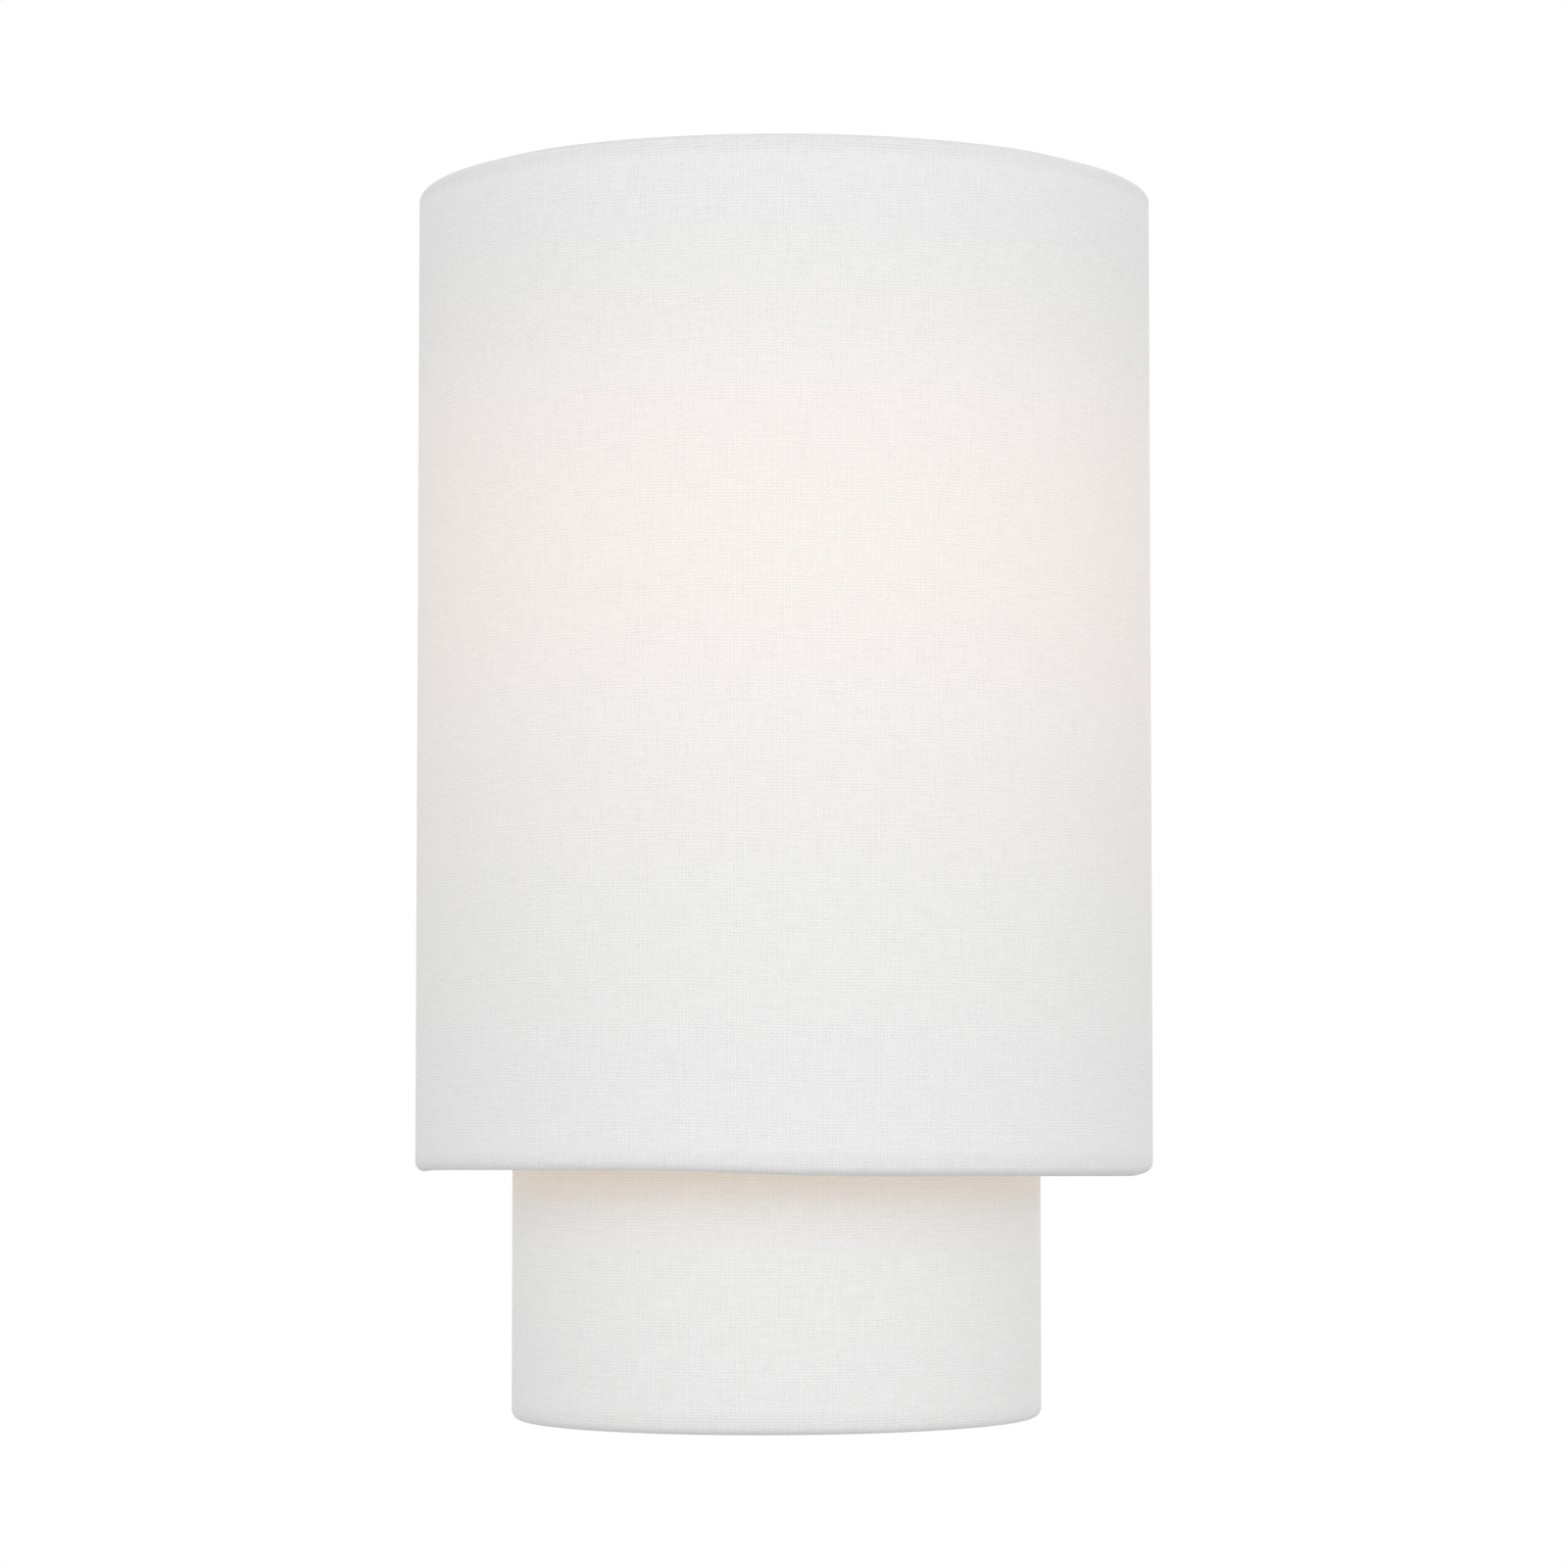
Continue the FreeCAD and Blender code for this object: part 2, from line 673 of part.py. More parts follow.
def mounting_strap():
    body = new_body("mounting_strap")
    bar = new_sketch(body, "XZ_Plane")
    rounded_rectangle(bar, "strap_length", "strap_width", "strap_width / 4")
    pad(body, bar, "strap_thickness")
    holes = new_sketch(body, "XZ_Plane")
    for side in ("", "-"):
        level_slot(holes, f"{side}box_screw_spacing / 2", "box_slot_length", "box_slot_width")
        circle(holes, f"{side}stud_spacing / 2", "0", "stud_radius")
    circle(holes, "ground_screw_offset", "0", "stud_radius")
    cut_through(body, holes, "4 * strap_thickness")
    return keep(body)


def strap_studs():
    body = new_body("strap_studs")
    ends = new_sketch(body, "XZ_Plane")
    for side in ("", "-"):
        circle(ends, f"{side}stud_spacing / 2", "0", "stud_radius")
    pad(body, ends, "pan_depth + stud_reach")
    return keep(body)


def cap_nuts():
    """Domed nuts on the studs, seated on the back plate's face."""
    nut = new_body("cap_nuts", x="stud_spacing / 2", y="-pan_depth")
    flats = new_sketch(nut, "XZ_Plane")
    hexagon(flats, "cap_nut_flats")
    pad(nut, flats, "cap_nut_hex")
    dome = new_sketch(nut, "XY_Plane")
    crown = "cap_nut_height - cap_nut_dome"
    outline(
        dome,
        [
            ("0", "-cap_nut_hex / 2"),
            ("0", "-cap_nut_height", "0", f"-({crown})", 1),
            ("cap_nut_dome", f"-({crown})"),
            ("cap_nut_dome", "-cap_nut_hex / 2"),
        ],
    )
    revolve(nut, dome)
    bore = new_sketch(nut, "XZ_Plane")
    circle(bore, "0", "0", "stud_radius + thread_clearance")
    cut_through(nut, bore, "2 * (stud_reach + part_gap)")
    return pair("cap_nuts", nut)


def shoulder_studs():
    """Studs riveted in the back plate, with a shank for the tab and a head over it."""
    face, inside = "-pan_depth", f"-{PAN_INSIDE}"
    neck = f"-({TAB_FRONT} + part_gap)"
    stud = turned(
        "hanger_studs",
        "XY_Plane",
        [
            ("0", f"{inside} + shoulder_foot_height"),
            ("shoulder_foot_radius", f"{inside} + shoulder_foot_height"),
            ("shoulder_foot_radius", inside),
            ("shoulder_radius", inside),
            ("shoulder_radius", neck),
            ("shoulder_head_radius", neck),
            ("shoulder_head_radius", f"{neck} - shoulder_head_height / 2"),
            ("shoulder_head_radius - shoulder_head_height / 2", f"{neck} - shoulder_head_height"),
            ("0", f"{neck} - shoulder_head_height"),
        ],
        x="tab_offset",
        z=HOOK_HEIGHT,
    )
    return pair("hanger_studs", stud)


def press_nuts():
    inside = f"-{PAN_INSIDE}"
    corners = ring_corners(
        "thumb_shank_radius + thumb_running_clearance",
        "press_nut_radius",
        inside,
        f"{inside} + press_nut_height",
    )
    nut = turned("press_nuts", "XY_Plane", corners, x="tab_offset", z=f"-{HOOK_HEIGHT}")
    return pair("press_nuts", nut)


def thumb_fixing(side, x):
    """A washer and the thumb screw that clamps a tab through it."""
    washer_face = f"-({TAB_FRONT} + part_gap)"
    head_face = f"({washer_face} - washer_thickness - part_gap)"
    bore = "thumb_shank_radius + thumb_running_clearance"
    corners = ring_corners(bore, "washer_radius", washer_face, f"{washer_face} - washer_thickness")
    keep(turned(f"{side}_screw_washer", "XY_Plane", corners, x=x, z=f"-{HOOK_HEIGHT}"))
    point = f"(-{PAN_INSIDE} + press_nut_height + 1.5 * thumb_chamfer)"
    end = f"{head_face} - thumb_head_height"
    screw = turned(
        f"{side}_thumb_screw",
        "XY_Plane",
        [
            ("0", point),
            ("thumb_shank_radius - thumb_chamfer", point),
            ("thumb_shank_radius", f"{point} - thumb_chamfer"),
            ("thumb_shank_radius", head_face),
            ("thumb_head_radius - thumb_chamfer", head_face),
            ("thumb_head_radius", f"{head_face} - thumb_chamfer"),
            ("thumb_head_radius", f"{end} + thumb_chamfer"),
            ("thumb_head_radius - thumb_chamfer", end),
            ("0", end),
        ],
        x=x,
        z=f"-{HOOK_HEIGHT}",
    )
    keep(screw)


def ground_screw():
    head = "-strap_thickness - ground_head_height"
    keep(
        turned(
            "ground_screw",
            "XY_Plane",
            [
                ("0", "0"),
                ("stud_radius", "0"),
                ("stud_radius", "-strap_thickness"),
                ("ground_head_radius", "-strap_thickness"),
                ("ground_head_radius", f"{head} + ground_head_height / 3"),
                ("ground_head_radius * 3 / 4", head),
                ("0", head),
            ],
            x="ground_screw_offset",
        )
    )


# Lamp bracket and lamp holder


def lamp_bracket():
    """A bent angle riveted to the back plate, with a round-cornered nose under the lamp holder."""
    body = new_body("lamp_bracket")
    side = new_sketch(body, "YZ_Plane")
    foot = f"-({BRACKET_DROP} + bracket_thickness)"
    reach = "-(lamp_reach + bracket_nose - pan_depth)"
    angle_outline(side, ("-pan_depth", foot), (reach, "bracket_upstand"), "bracket_thickness", "bracket_bend")
    plate = pad(body, side, "bracket_width", both_ways=True)
    doc.recompute()
    nose = -value("lamp_reach + bracket_nose")
    uprights = [
        f"Edge{number}"
        for number, edge in enumerate(plate.Shape.Edges, start=1)
        if abs(edge.BoundBox.YMin - nose) < 1e-6
        and abs(edge.BoundBox.YMax - nose) < 1e-6
        and edge.BoundBox.ZLength > 0.1
    ]
    corners = body.newObject("PartDesign::Fillet", "Nose")
    corners.Base = (plate, uprights)
    bind(corners, Radius="bracket_nose_corner")
    doc.recompute()
    seat = new_sketch(body, "XY_Plane")
    circle(seat, "0", "-lamp_reach", "nipple_radius + thread_clearance")
    cut_through(body, seat, f"4 * {BRACKET_DROP}")
    rivets = new_sketch(body, "XZ_Plane")
    for hand in ("", "-"):
        circle(rivets, f"{hand}rivet_spacing / 2", f"rivet_rise - {BRACKET_DROP}", "rivet_radius")
    cut_through(body, rivets, "4 * pan_depth")
    return keep(body)


def bracket_rivets():
    face, inside = "-(pan_depth + bracket_thickness)", f"-{PAN_INSIDE}"
    rivet = turned(
        "bracket_rivets",
        "XY_Plane",
        [
            ("0", f"{inside} + rivet_head_height"),
            ("rivet_head_radius * 2 / 3", f"{inside} + rivet_head_height"),
            ("rivet_head_radius * 5 / 6", inside),
            ("rivet_radius", inside),
            ("rivet_radius", face),
            ("rivet_head_radius", face),
            ("rivet_head_radius * 2 / 3", f"{face} - rivet_head_height * 3 / 4"),
            ("0", f"{face} - rivet_head_height"),
        ],
        x="rivet_spacing / 2",
        z=f"rivet_rise - {BRACKET_DROP}",
    )
    return pair("bracket_rivets", rivet)


def on_bracket():
    """Where the lamp's axis meets the bracket's top."""
    return {"y": "-lamp_reach", "z": f"-{BRACKET_DROP}"}


def lamp_holder():
    lip = "holder_lip"
    body = turned(
        "holder_body",
        "XZ_Plane",
        [
            ("nipple_radius", "0"),
            (f"holder_radius - {lip}", "0"),
            ("holder_radius", lip),
            ("holder_radius", f"holder_height - {lip}"),
            (f"holder_radius - {lip}", "holder_height"),
            ("holder_bore", "holder_height"),
            ("holder_bore", "holder_floor"),
            ("0", "holder_floor"),
            ("0", "nipple_seat"),
            ("nipple_radius", "nipple_seat"),
        ],
        **on_bracket(),
    )
    cross = new_sketch(body, "YZ_Plane")
    circle(cross, "0", "wire_screw_height", "wire_screw_radius")
    cut_through(body, cross, "4 * holder_radius")
    keep(body)

    inside = f"{SHELL_OUTSIDE} - shell_thickness"
    floor, top = "holder_floor", "(holder_floor + shell_height)"
    shell = turned(
        "holder_shell",
        "XZ_Plane",
        [
            ("shell_mouth", floor),
            (SHELL_OUTSIDE, floor),
            (SHELL_OUTSIDE, top),
            (inside, top),
            (inside, f"{floor} + shell_thickness"),
            ("shell_mouth", f"{floor} + shell_thickness"),
        ],
        **on_bracket(),
    )
    keep(shell)

    leaf, arm = "contact_thickness", "contact_arm"
    contact = new_body("holder_contact", **on_bracket())
    fold = new_sketch(contact, "YZ_Plane")
    outline(
        fold,
        [
            (f"-2 * {arm}", floor),
            (f"{arm} + {leaf}", floor),
            (f"{arm} + {leaf}", CONTACT_TOP),
            (f"-{arm}", CONTACT_TOP),
            (f"-{arm}", f"{CONTACT_TOP} - {leaf}"),
            (arm, f"{CONTACT_TOP} - {leaf}"),
            (arm, f"{floor} + {leaf}"),
            (f"-2 * {arm}", f"{floor} + {leaf}"),
        ],
    )
    pad(contact, fold, "contact_width", both_ways=True)
    keep(contact)

    bore = ring_corners("nipple_bore", "nipple_radius", "-nipple_drop", "nipple_seat")
    keep(turned("holder_nipple", "XZ_Plane", bore, **on_bracket()))

    nut_z = f"-{BRACKET_DROP} - bracket_thickness - lock_nut_height"
    nut = new_body("lock_nut", y="-lamp_reach", z=nut_z)
    flats = new_sketch(nut, "XY_Plane")
    hexagon(flats, "lock_nut_flats")
    circle(flats, "0", "0", "nipple_radius")
    pad(nut, flats, "lock_nut_height")
    keep(nut)

    start, seat = "holder_radius - wire_screw_length", "holder_radius"
    end = f"{seat} + wire_screw_head_height"
    screw = turned(
        "holder_screws",
        "XY_Plane",
        [
            (start, "0"),
            (start, "wire_screw_radius"),
            (seat, "wire_screw_radius"),
            (seat, "wire_screw_head_radius"),
            (f"{end} - wire_screw_head_height / 3", "wire_screw_head_radius"),
            (end, "wire_screw_head_radius * 3 / 4"),
            (end, "0"),
        ],
        axis="H_Axis",
        y="-lamp_reach",
        z=f"-{BRACKET_DROP} + wire_screw_height",
    )
    pair("holder_screws", screw)


# Lamp, from its contact up


def bulb():
    base = {"y": "-lamp_reach", "z": f"-{BRACKET_DROP} + {CONTACT_TOP} + part_gap"}
    rim_low = "(tip_height + insulator_height)"
    rim_high = f"({rim_low} + cap_height)"
    foot = "insulator_radius + cap_thickness"

    tip = turned(
        "bulb_contact",
        "XZ_Plane",
        [
            ("0", "0"),
            ("tip_radius * 2 / 3", "0"),
            ("tip_radius", "tip_height / 2"),
            ("tip_radius", "tip_height"),
            ("0", "tip_height"),
        ],
        **base,
    )
    keep(tip)
    insulator = turned(
        "bulb_insulator",
        "XZ_Plane",
        [
            ("0", "tip_height"),
            ("tip_radius * 4 / 3", "tip_height"),
            ("insulator_radius", f"{rim_low} - insulator_height / 3"),
            ("insulator_radius", rim_low),
            ("0", rim_low),
        ],
        **base,
    )
    keep(insulator)
    skin = "cap_thickness"
    cap = turned(
        "bulb_cap",
        "XZ_Plane",
        [
            (foot, f"{rim_low} - {skin}"),
            ("cap_radius", f"{rim_low} + cap_taper"),
            ("cap_radius", rim_high),
            (f"cap_radius - {skin}", rim_high),
            (f"cap_radius - {skin}", f"{rim_low} + cap_taper"),
            (f"{foot} - {skin}", rim_low),
            (f"{foot} - {skin}", f"{rim_low} - {skin}"),
        ],
        **base,
    )
    keep(cap)

    # The envelope is a ball, a straight flank that leaves it 30 degrees below its widest line, and a neck
    # joined to the flank by an arc. skin is how far inside the outer face a line lies.
    centre = "(bulb_length - bulb_radius)"
    down, across = "0.5", "(sqrt(3) / 2)"
    bend_tangent = "(2 - sqrt(3))"

    def envelope(skin, side):
        ball, neck = f"(bulb_radius - {skin})", f"(bulb_neck_radius - {skin})"
        bend = f"(bulb_neck_bend + {skin})"
        leave_x, leave_z = f"({ball} * {across})", f"({centre} - {ball} * {down})"
        flank = f"(({leave_x} - {neck}) / {down})"
        meet_z = f"({leave_z} - {flank} * {across})"
        cut = f"({bend} * {bend_tangent})"
        flank_end = (f"{neck} + {cut} * {down}", f"{meet_z} + {cut} * {across}")
        neck_top = (neck, f"{meet_z} - {cut}")
        bend_centre = (f"{neck} + {bend}", f"{meet_z} - {cut}")
        crown = ("0", f"{centre} + {ball}")
        if side == "down":
            return [
                (*crown, "0", centre, -1),
                (leave_x, leave_z),
                (*flank_end, *bend_centre, 1),
                neck_top,
                (neck, rim_high),
            ]
        return [
            (neck, rim_high),
            (*neck_top, *bend_centre, -1),
            flank_end,
            (leave_x, leave_z, "0", centre, 1),
            crown,
        ]

    glass = envelope("0", "down") + envelope("glass_thickness", "up")
    keep(turned("bulb_glass", "XZ_Plane", glass, **base))

    foot_top = f"{rim_high} + glass_thickness"
    top = f"({rim_high} + stem_height)"
    stem = turned(
        "bulb_stem",
        "XZ_Plane",
        [
            ("0", rim_high),
            ("stem_foot_radius", rim_high),
            ("stem_foot_radius", foot_top),
            ("stem_radius", f"{rim_high} + stem_height / 3"),
            ("stem_radius / 2", f"{rim_high} + stem_height / 3"),
            ("stem_radius / 2", top),
            ("0", top),
        ],
        **base,
    )
    keep(stem)
    supports = new_body("bulb_supports", y=base["y"], z=f"{base['z']} + {rim_high} + stem_height / 3")
    wires = new_sketch(supports, "XY_Plane")
    for side in ("", "-"):
        circle(wires, f"{side}support_offset", "0", "support_radius")
    pad(supports, wires, "stem_height * 2 / 3 + support_height")
    keep(supports)
    filament = new_body("bulb_filament", y=base["y"], z=f"{base['z']} + {top} + support_height")
    coil = new_sketch(filament, "XY_Plane")
    circle(coil, "support_offset", "0", "filament_wire_radius")
    bow = revolve(filament, coil, angle="180")
    bow.Midplane = False
    bow.Reversed = True
    keep(filament)


# Connector block


def connector():
    place = {"y": f"-{PAN_INSIDE} + block_depth", "z": f"-{BLOCK_DROP}"}
    middle = "-block_depth / 2"
    poles = ("-pole_spacing", "0", "pole_spacing")
    steps = ("-clamp_spacing / 2", "clamp_spacing / 2")

    block = new_body("terminal_block", **place)
    face = new_sketch(block, "XZ_Plane")
    rounded_rectangle(face, "block_width", "block_height", "block_height / 8")
    pad(block, face, "block_depth")
    bores = new_sketch(block, "XY_Plane")
    for x in poles:
        circle(bores, x, middle, "pole_bore")
    cut_through(block, bores, "2 * block_height")
    wells = new_sketch(block, "XZ_Plane")
    for x in poles:
        for z in steps:
            circle(wells, x, z, "clamp_well_radius")
    cut_through(block, wells, "block_depth")
    hole = new_sketch(block, "XZ_Plane")
    circle(hole, "pole_spacing / 2", "0", "block_screw_radius")
    cut_through(block, hole, "4 * block_depth")
    keep(block)

    insert_foot = f"-{BLOCK_DROP} - insert_height / 2"
    inserts = new_body("terminal_inserts", y=f"{place['y']} + {middle}", z=insert_foot)
    rings = new_sketch(inserts, "XY_Plane")
    for x in poles:
        circle(rings, x, "0", "pole_bore")
        circle(rings, x, "0", "insert_bore")
    pad(inserts, rings, "insert_height")
    taps = new_sketch(inserts, "XZ_Plane")
    for x in poles:
        for z in steps:
            circle(taps, x, f"insert_height / 2 + {z}", "clamp_radius")
    cut_to_wall(inserts, taps, "2 * pole_bore")
    keep(inserts)

    clamps = new_body("terminal_screws", y=f"{place['y']} - clamp_sink", z=place["z"])
    ends = new_sketch(clamps, "XZ_Plane")
    for x in poles:
        for z in steps:
            circle(ends, x, z, "clamp_radius")
    pad(clamps, ends, "clamp_depth - clamp_sink")
    keep(clamps)

    screw = turned(
        "block_screw",
        "XY_Plane",
        [
            ("0", "block_screw_head_height"),
            ("block_screw_head_radius", "block_screw_head_height"),
            ("block_screw_head_radius", "0"),
            ("block_screw_radius", "0"),
            ("block_screw_radius", "-(block_depth + pan_wall)"),
            ("0", "-(block_depth + pan_wall)"),
        ],
        x="pole_spacing / 2",
        **place,
    )
    keep(screw)


def grommet():
    front, back = "-(pan_depth + grommet_flange_height)", f"-{PAN_INSIDE} + grommet_flange_height"
    face, inside = "-pan_depth", f"-{PAN_INSIDE}"
    keep(
        turned(
            "lead_grommet",
            "XY_Plane",
            [
                ("grommet_bore", front),
                ("grommet_flange * 7 / 8", front),
                ("grommet_flange", face),
                ("grommet_neck", face),
                ("grommet_neck", inside),
                ("grommet_flange", inside),
                ("grommet_flange * 7 / 8", back),
                ("grommet_bore", back),
            ],
            z=f"-{GROMMET_DROP}",
        )
    )


# Leads


def lead(label, points):
    """A round lead along a route of straight runs and the largest arcs that the runs allow."""
    points = [Vec(*p) for p in points]
    edges, radii = [], []
    start = points[0]
    for before, corner, after in zip(points, points[1:], points[2:]):
        arriving, leaving = (corner - before), (after - corner)
        short = 0.45 * min(arriving.Length, leaving.Length)
        radii.append(short / math.tan(arriving.getAngle(leaving) / 2))
        arriving.normalize()
        leaving.normalize()
        first, last = corner - arriving * short, corner + leaving * short
        centre = corner + (leaving - arriving).normalize() * math.hypot(radii[-1], short)
        middle = centre + (corner - centre).normalize() * radii[-1]
        edges.append(Part.LineSegment(start, first).toShape())
        edges.append(Part.Arc(first, middle, last).toShape())
        start = last
    edges.append(Part.LineSegment(start, points[-1]).toShape())
    path = Part.Wire(edges)
    radius = value("lead_radius")
    section = Part.Wire([Part.makeCircle(radius, points[0], points[1] - points[0])])
    tube = doc.addObject("Part::Feature", "Lead")
    tube.Shape = path.makePipeShell([section], True, False)
    tube.Label = label
    expected = math.pi * radius**2 * path.Length
    print(f"{label}: {path.Length:.0f} mm, volume {tube.Shape.Volume / expected:.3f} of its section times length,")
    print("  bend radii", ", ".join(f"{r:.1f}" for r in radii))
    return keep(tube)


def leads():
    """Two leads from the holder's wire screws through the grommet to the block, and the ground lead."""
    head_x = value("holder_radius + lead_radius + thread_clearance")
    lamp_y = -value("lamp_reach")
    screw_z = value(f"-{BRACKET_DROP} + wire_screw_height - wire_screw_head_radius - thread_clearance")
    face_y = -value("pan_depth")
    hole_z = -value(GROMMET_DROP)
    pole_y = -value(POLE_DEPTH)
    pole_x = value("pole_spacing")
    block_top = value(f"-{BLOCK_DROP} + block_height / 2")
    end_z = block_top - value("lead_entry")
    hole_x = value("lead_pitch") / 2
    gap = face_y - lamp_y
    for label, side, down in (("live_lead", 1, 0), ("neutral_lead", -1, -pole_x)):
        drift = down - side * hole_x
        lead(
            label,
            [
                (side * head_x, lamp_y, screw_z),
                (side * head_x, lamp_y, screw_z - 8.5),
                (side * (head_x - 3.5), lamp_y + 0.2 * gap, hole_z - 1.5),
                (side * (head_x - 10.5), lamp_y + 0.45 * gap, hole_z - 3),
                (side * (hole_x + 2), face_y - 0.32 * gap, hole_z - 1.2),
                (side * hole_x, face_y - 3.5, hole_z),
                (side * hole_x, pole_y - 0.4, hole_z),
                (side * hole_x + 0.6 * drift, pole_y, block_top + 7.5),
                (down, pole_y + 0.2, block_top + 2.2),
                (down, pole_y, end_z),
            ],
        )
    ground_x = value("ground_screw_offset")
    ground_y = -value("strap_thickness + lead_radius + part_gap")
    ground_z = -value("ground_head_radius + thread_clearance")
    span = end_z - ground_z
    lead(
        "ground_lead",
        [
            (ground_x, ground_y, ground_z),
            (ground_x, ground_y - 0.3, ground_z + 0.2 * span),
            (ground_x - 0.6, ground_y + 0.5 * (pole_y - ground_y), ground_z + 0.45 * span),
            (pole_x + 0.3, pole_y, ground_z + 0.72 * span),
            (pole_x, pole_y, end_z),
        ],
    )


def write():
    """Checks every object of the document, then writes one file for each sub-part."""
    doc.recompute()
    for thing in doc.Objects:
        failed = {"Invalid", "Error"} & set(thing.State)
        if failed:
            raise RuntimeError(f"{thing.Label} ({thing.Name}) is {failed}")
    os.makedirs("parts", exist_ok=True)
    for node in nodes:
        shape = node.Shape
        if shape.isNull() or not shape.isValid() or not shape.Solids:
            raise RuntimeError(f"{node.Label} has no valid solid")
        shape.exportStep(os.path.join("parts", f"{node.Label}.step"))
        print(f"{node.Label}: {len(shape.Solids)} solid(s), {shape.Volume:.0f} mm3")
    print(len(nodes), "sub-parts")


shade()
back_plate()
mounting_strap()
strap_studs()
cap_nuts()
shoulder_studs()
press_nuts()
for hand, offset in (("left", "-tab_offset"), ("right", "tab_offset")):
    thumb_fixing(hand, offset)
ground_screw()
lamp_bracket()
bracket_rivets()
lamp_holder()
bulb()
connector()
grommet()
leads()
write()
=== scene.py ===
import json
import math

import bpy
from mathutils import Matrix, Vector


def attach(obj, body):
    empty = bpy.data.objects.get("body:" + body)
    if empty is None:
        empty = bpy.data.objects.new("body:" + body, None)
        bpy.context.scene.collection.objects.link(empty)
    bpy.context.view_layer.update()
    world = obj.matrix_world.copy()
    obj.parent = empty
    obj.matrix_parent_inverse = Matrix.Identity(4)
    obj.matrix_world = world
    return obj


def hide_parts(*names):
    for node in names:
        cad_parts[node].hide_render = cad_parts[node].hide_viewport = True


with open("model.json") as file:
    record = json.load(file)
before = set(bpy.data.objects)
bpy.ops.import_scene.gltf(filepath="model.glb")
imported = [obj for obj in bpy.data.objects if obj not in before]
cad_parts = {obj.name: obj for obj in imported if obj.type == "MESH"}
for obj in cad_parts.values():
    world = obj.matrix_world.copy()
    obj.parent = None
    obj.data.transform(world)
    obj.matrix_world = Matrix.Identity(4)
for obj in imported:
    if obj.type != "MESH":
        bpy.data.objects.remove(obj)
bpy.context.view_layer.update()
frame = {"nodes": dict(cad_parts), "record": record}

MM = 0.001
NODES = frame["nodes"]

# The camera stands at the height of the upper tier's lower hem and looks a little up.
CAMERA_PLACE = (-0.00003, -1.5582, -0.1355)
CAMERA_PITCH = math.radians(3.935)
CAMERA_LENS, CAMERA_SENSOR = 129.31, 36
CAMERA_NEAR, CAMERA_FAR = 0.05, 30

eye = bpy.data.cameras.new("eye")
eye.lens, eye.sensor_width = CAMERA_LENS, CAMERA_SENSOR
eye.clip_start, eye.clip_end = CAMERA_NEAR, CAMERA_FAR
camera = bpy.data.objects.new("eye", eye)
camera.location = CAMERA_PLACE
camera.rotation_euler = (math.pi / 2 + CAMERA_PITCH, 0, 0)
bpy.context.scene.collection.objects.link(camera)
bpy.context.scene.camera = camera
bpy.context.scene.view_settings.view_transform = "Standard"


# Small helpers


def srgb(code):
    """An sRGB hex value as a linear colour."""
    parts = [int(code[i : i + 2], 16) / 255 for i in (0, 2, 4)]
    return (*(p / 12.92 if p <= 0.04045 else ((p + 0.055) / 1.055) ** 2.4 for p in parts), 1.0)


def metres(points):
    """Points given in millimetres, in metres."""
    return [Vector(point) * MM for point in points]


def add(tree, kind, values=None, links=None, **settings):
    """Adds one node with its settings, its inputs' values and what feeds them."""
    node = tree.nodes.new(kind)
    for key, setting in settings.items():
        setattr(node, key, setting)
    for key, amount in (values or {}).items():
        node.inputs[key].default_value = amount
    for key, source in (links or {}).items():
        tree.links.new(source, node.inputs[key])
    return node


def new_finish(name, colour, **constants):
    """A material whose shader starts from the real finish's constants."""
    finish = bpy.data.materials.new(name)
    finish.use_nodes = True
    tree = finish.node_tree
    shader = tree.nodes["Principled BSDF"]
    shader.inputs["Base Color"].default_value = srgb(colour)
    for key, amount in constants.items():
        shader.inputs[key.replace("_", " ")].default_value = amount
    return finish, tree, shader


# Edges that turn by more degrees than this stay sharp.
SMOOTH = 35


def dress(piece, body, finish, smooth=SMOOTH):
    """Smooths a finished mesh, gives it its finish and rides it on its body."""
    mesh = piece.data
    mesh.polygons.foreach_set("use_smooth", [True] * len(mesh.polygons))
    mesh.set_sharp_from_angle(angle=math.radians(smooth))
    mesh.materials.clear()
    mesh.materials.append(finish)
    mesh.polygons.foreach_set("material_index", [0] * len(mesh.polygons))
    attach(piece, body)
    return piece


def place_mesh(name, mesh):
    """Puts a mesh in the scene as an object at the origin."""
    piece = bpy.data.objects.new(name, mesh)
    bpy.context.scene.collection.objects.link(piece)
    return piece


def show(name, vertices, faces, body, finish):
    """Makes a mesh piece from points in millimetres."""
    mesh = bpy.data.meshes.new(name)
    mesh.from_pydata(metres(vertices), [], faces)
    mesh.validate()
    return dress(place_mesh(name, mesh), body, finish)


def flatten(piece):
    """Turns a piece and its modifiers into a plain mesh."""
    graph = bpy.context.evaluated_depsgraph_get()
    plain = bpy.data.meshes.new_from_object(piece.evaluated_get(graph))
    piece.modifiers.clear()
    piece.data = plain


# Geometry Nodes trees for what repeats or follows a path


def new_tree(name, **sizes):
    """Starts a tree that takes points, a finish and named sizes, and gives its inputs too."""
    tree = bpy.data.node_groups.new(name, "GeometryNodeTree")
    tree.is_modifier = True
    tree.interface.new_socket("Shape", in_out="OUTPUT", socket_type="NodeSocketGeometry")
    tree.interface.new_socket("Points", in_out="INPUT", socket_type="NodeSocketGeometry")
    tree.interface.new_socket("Finish", in_out="INPUT", socket_type="NodeSocketMaterial")
    for label, size in sizes.items():
        kind = "NodeSocketInt" if isinstance(size, int) else "NodeSocketFloat"
        socket = tree.interface.new_socket(label.replace("_", " "), in_out="INPUT", socket_type=kind)
        socket.default_value = size
    return tree, add(tree, "NodeGroupInput").outputs


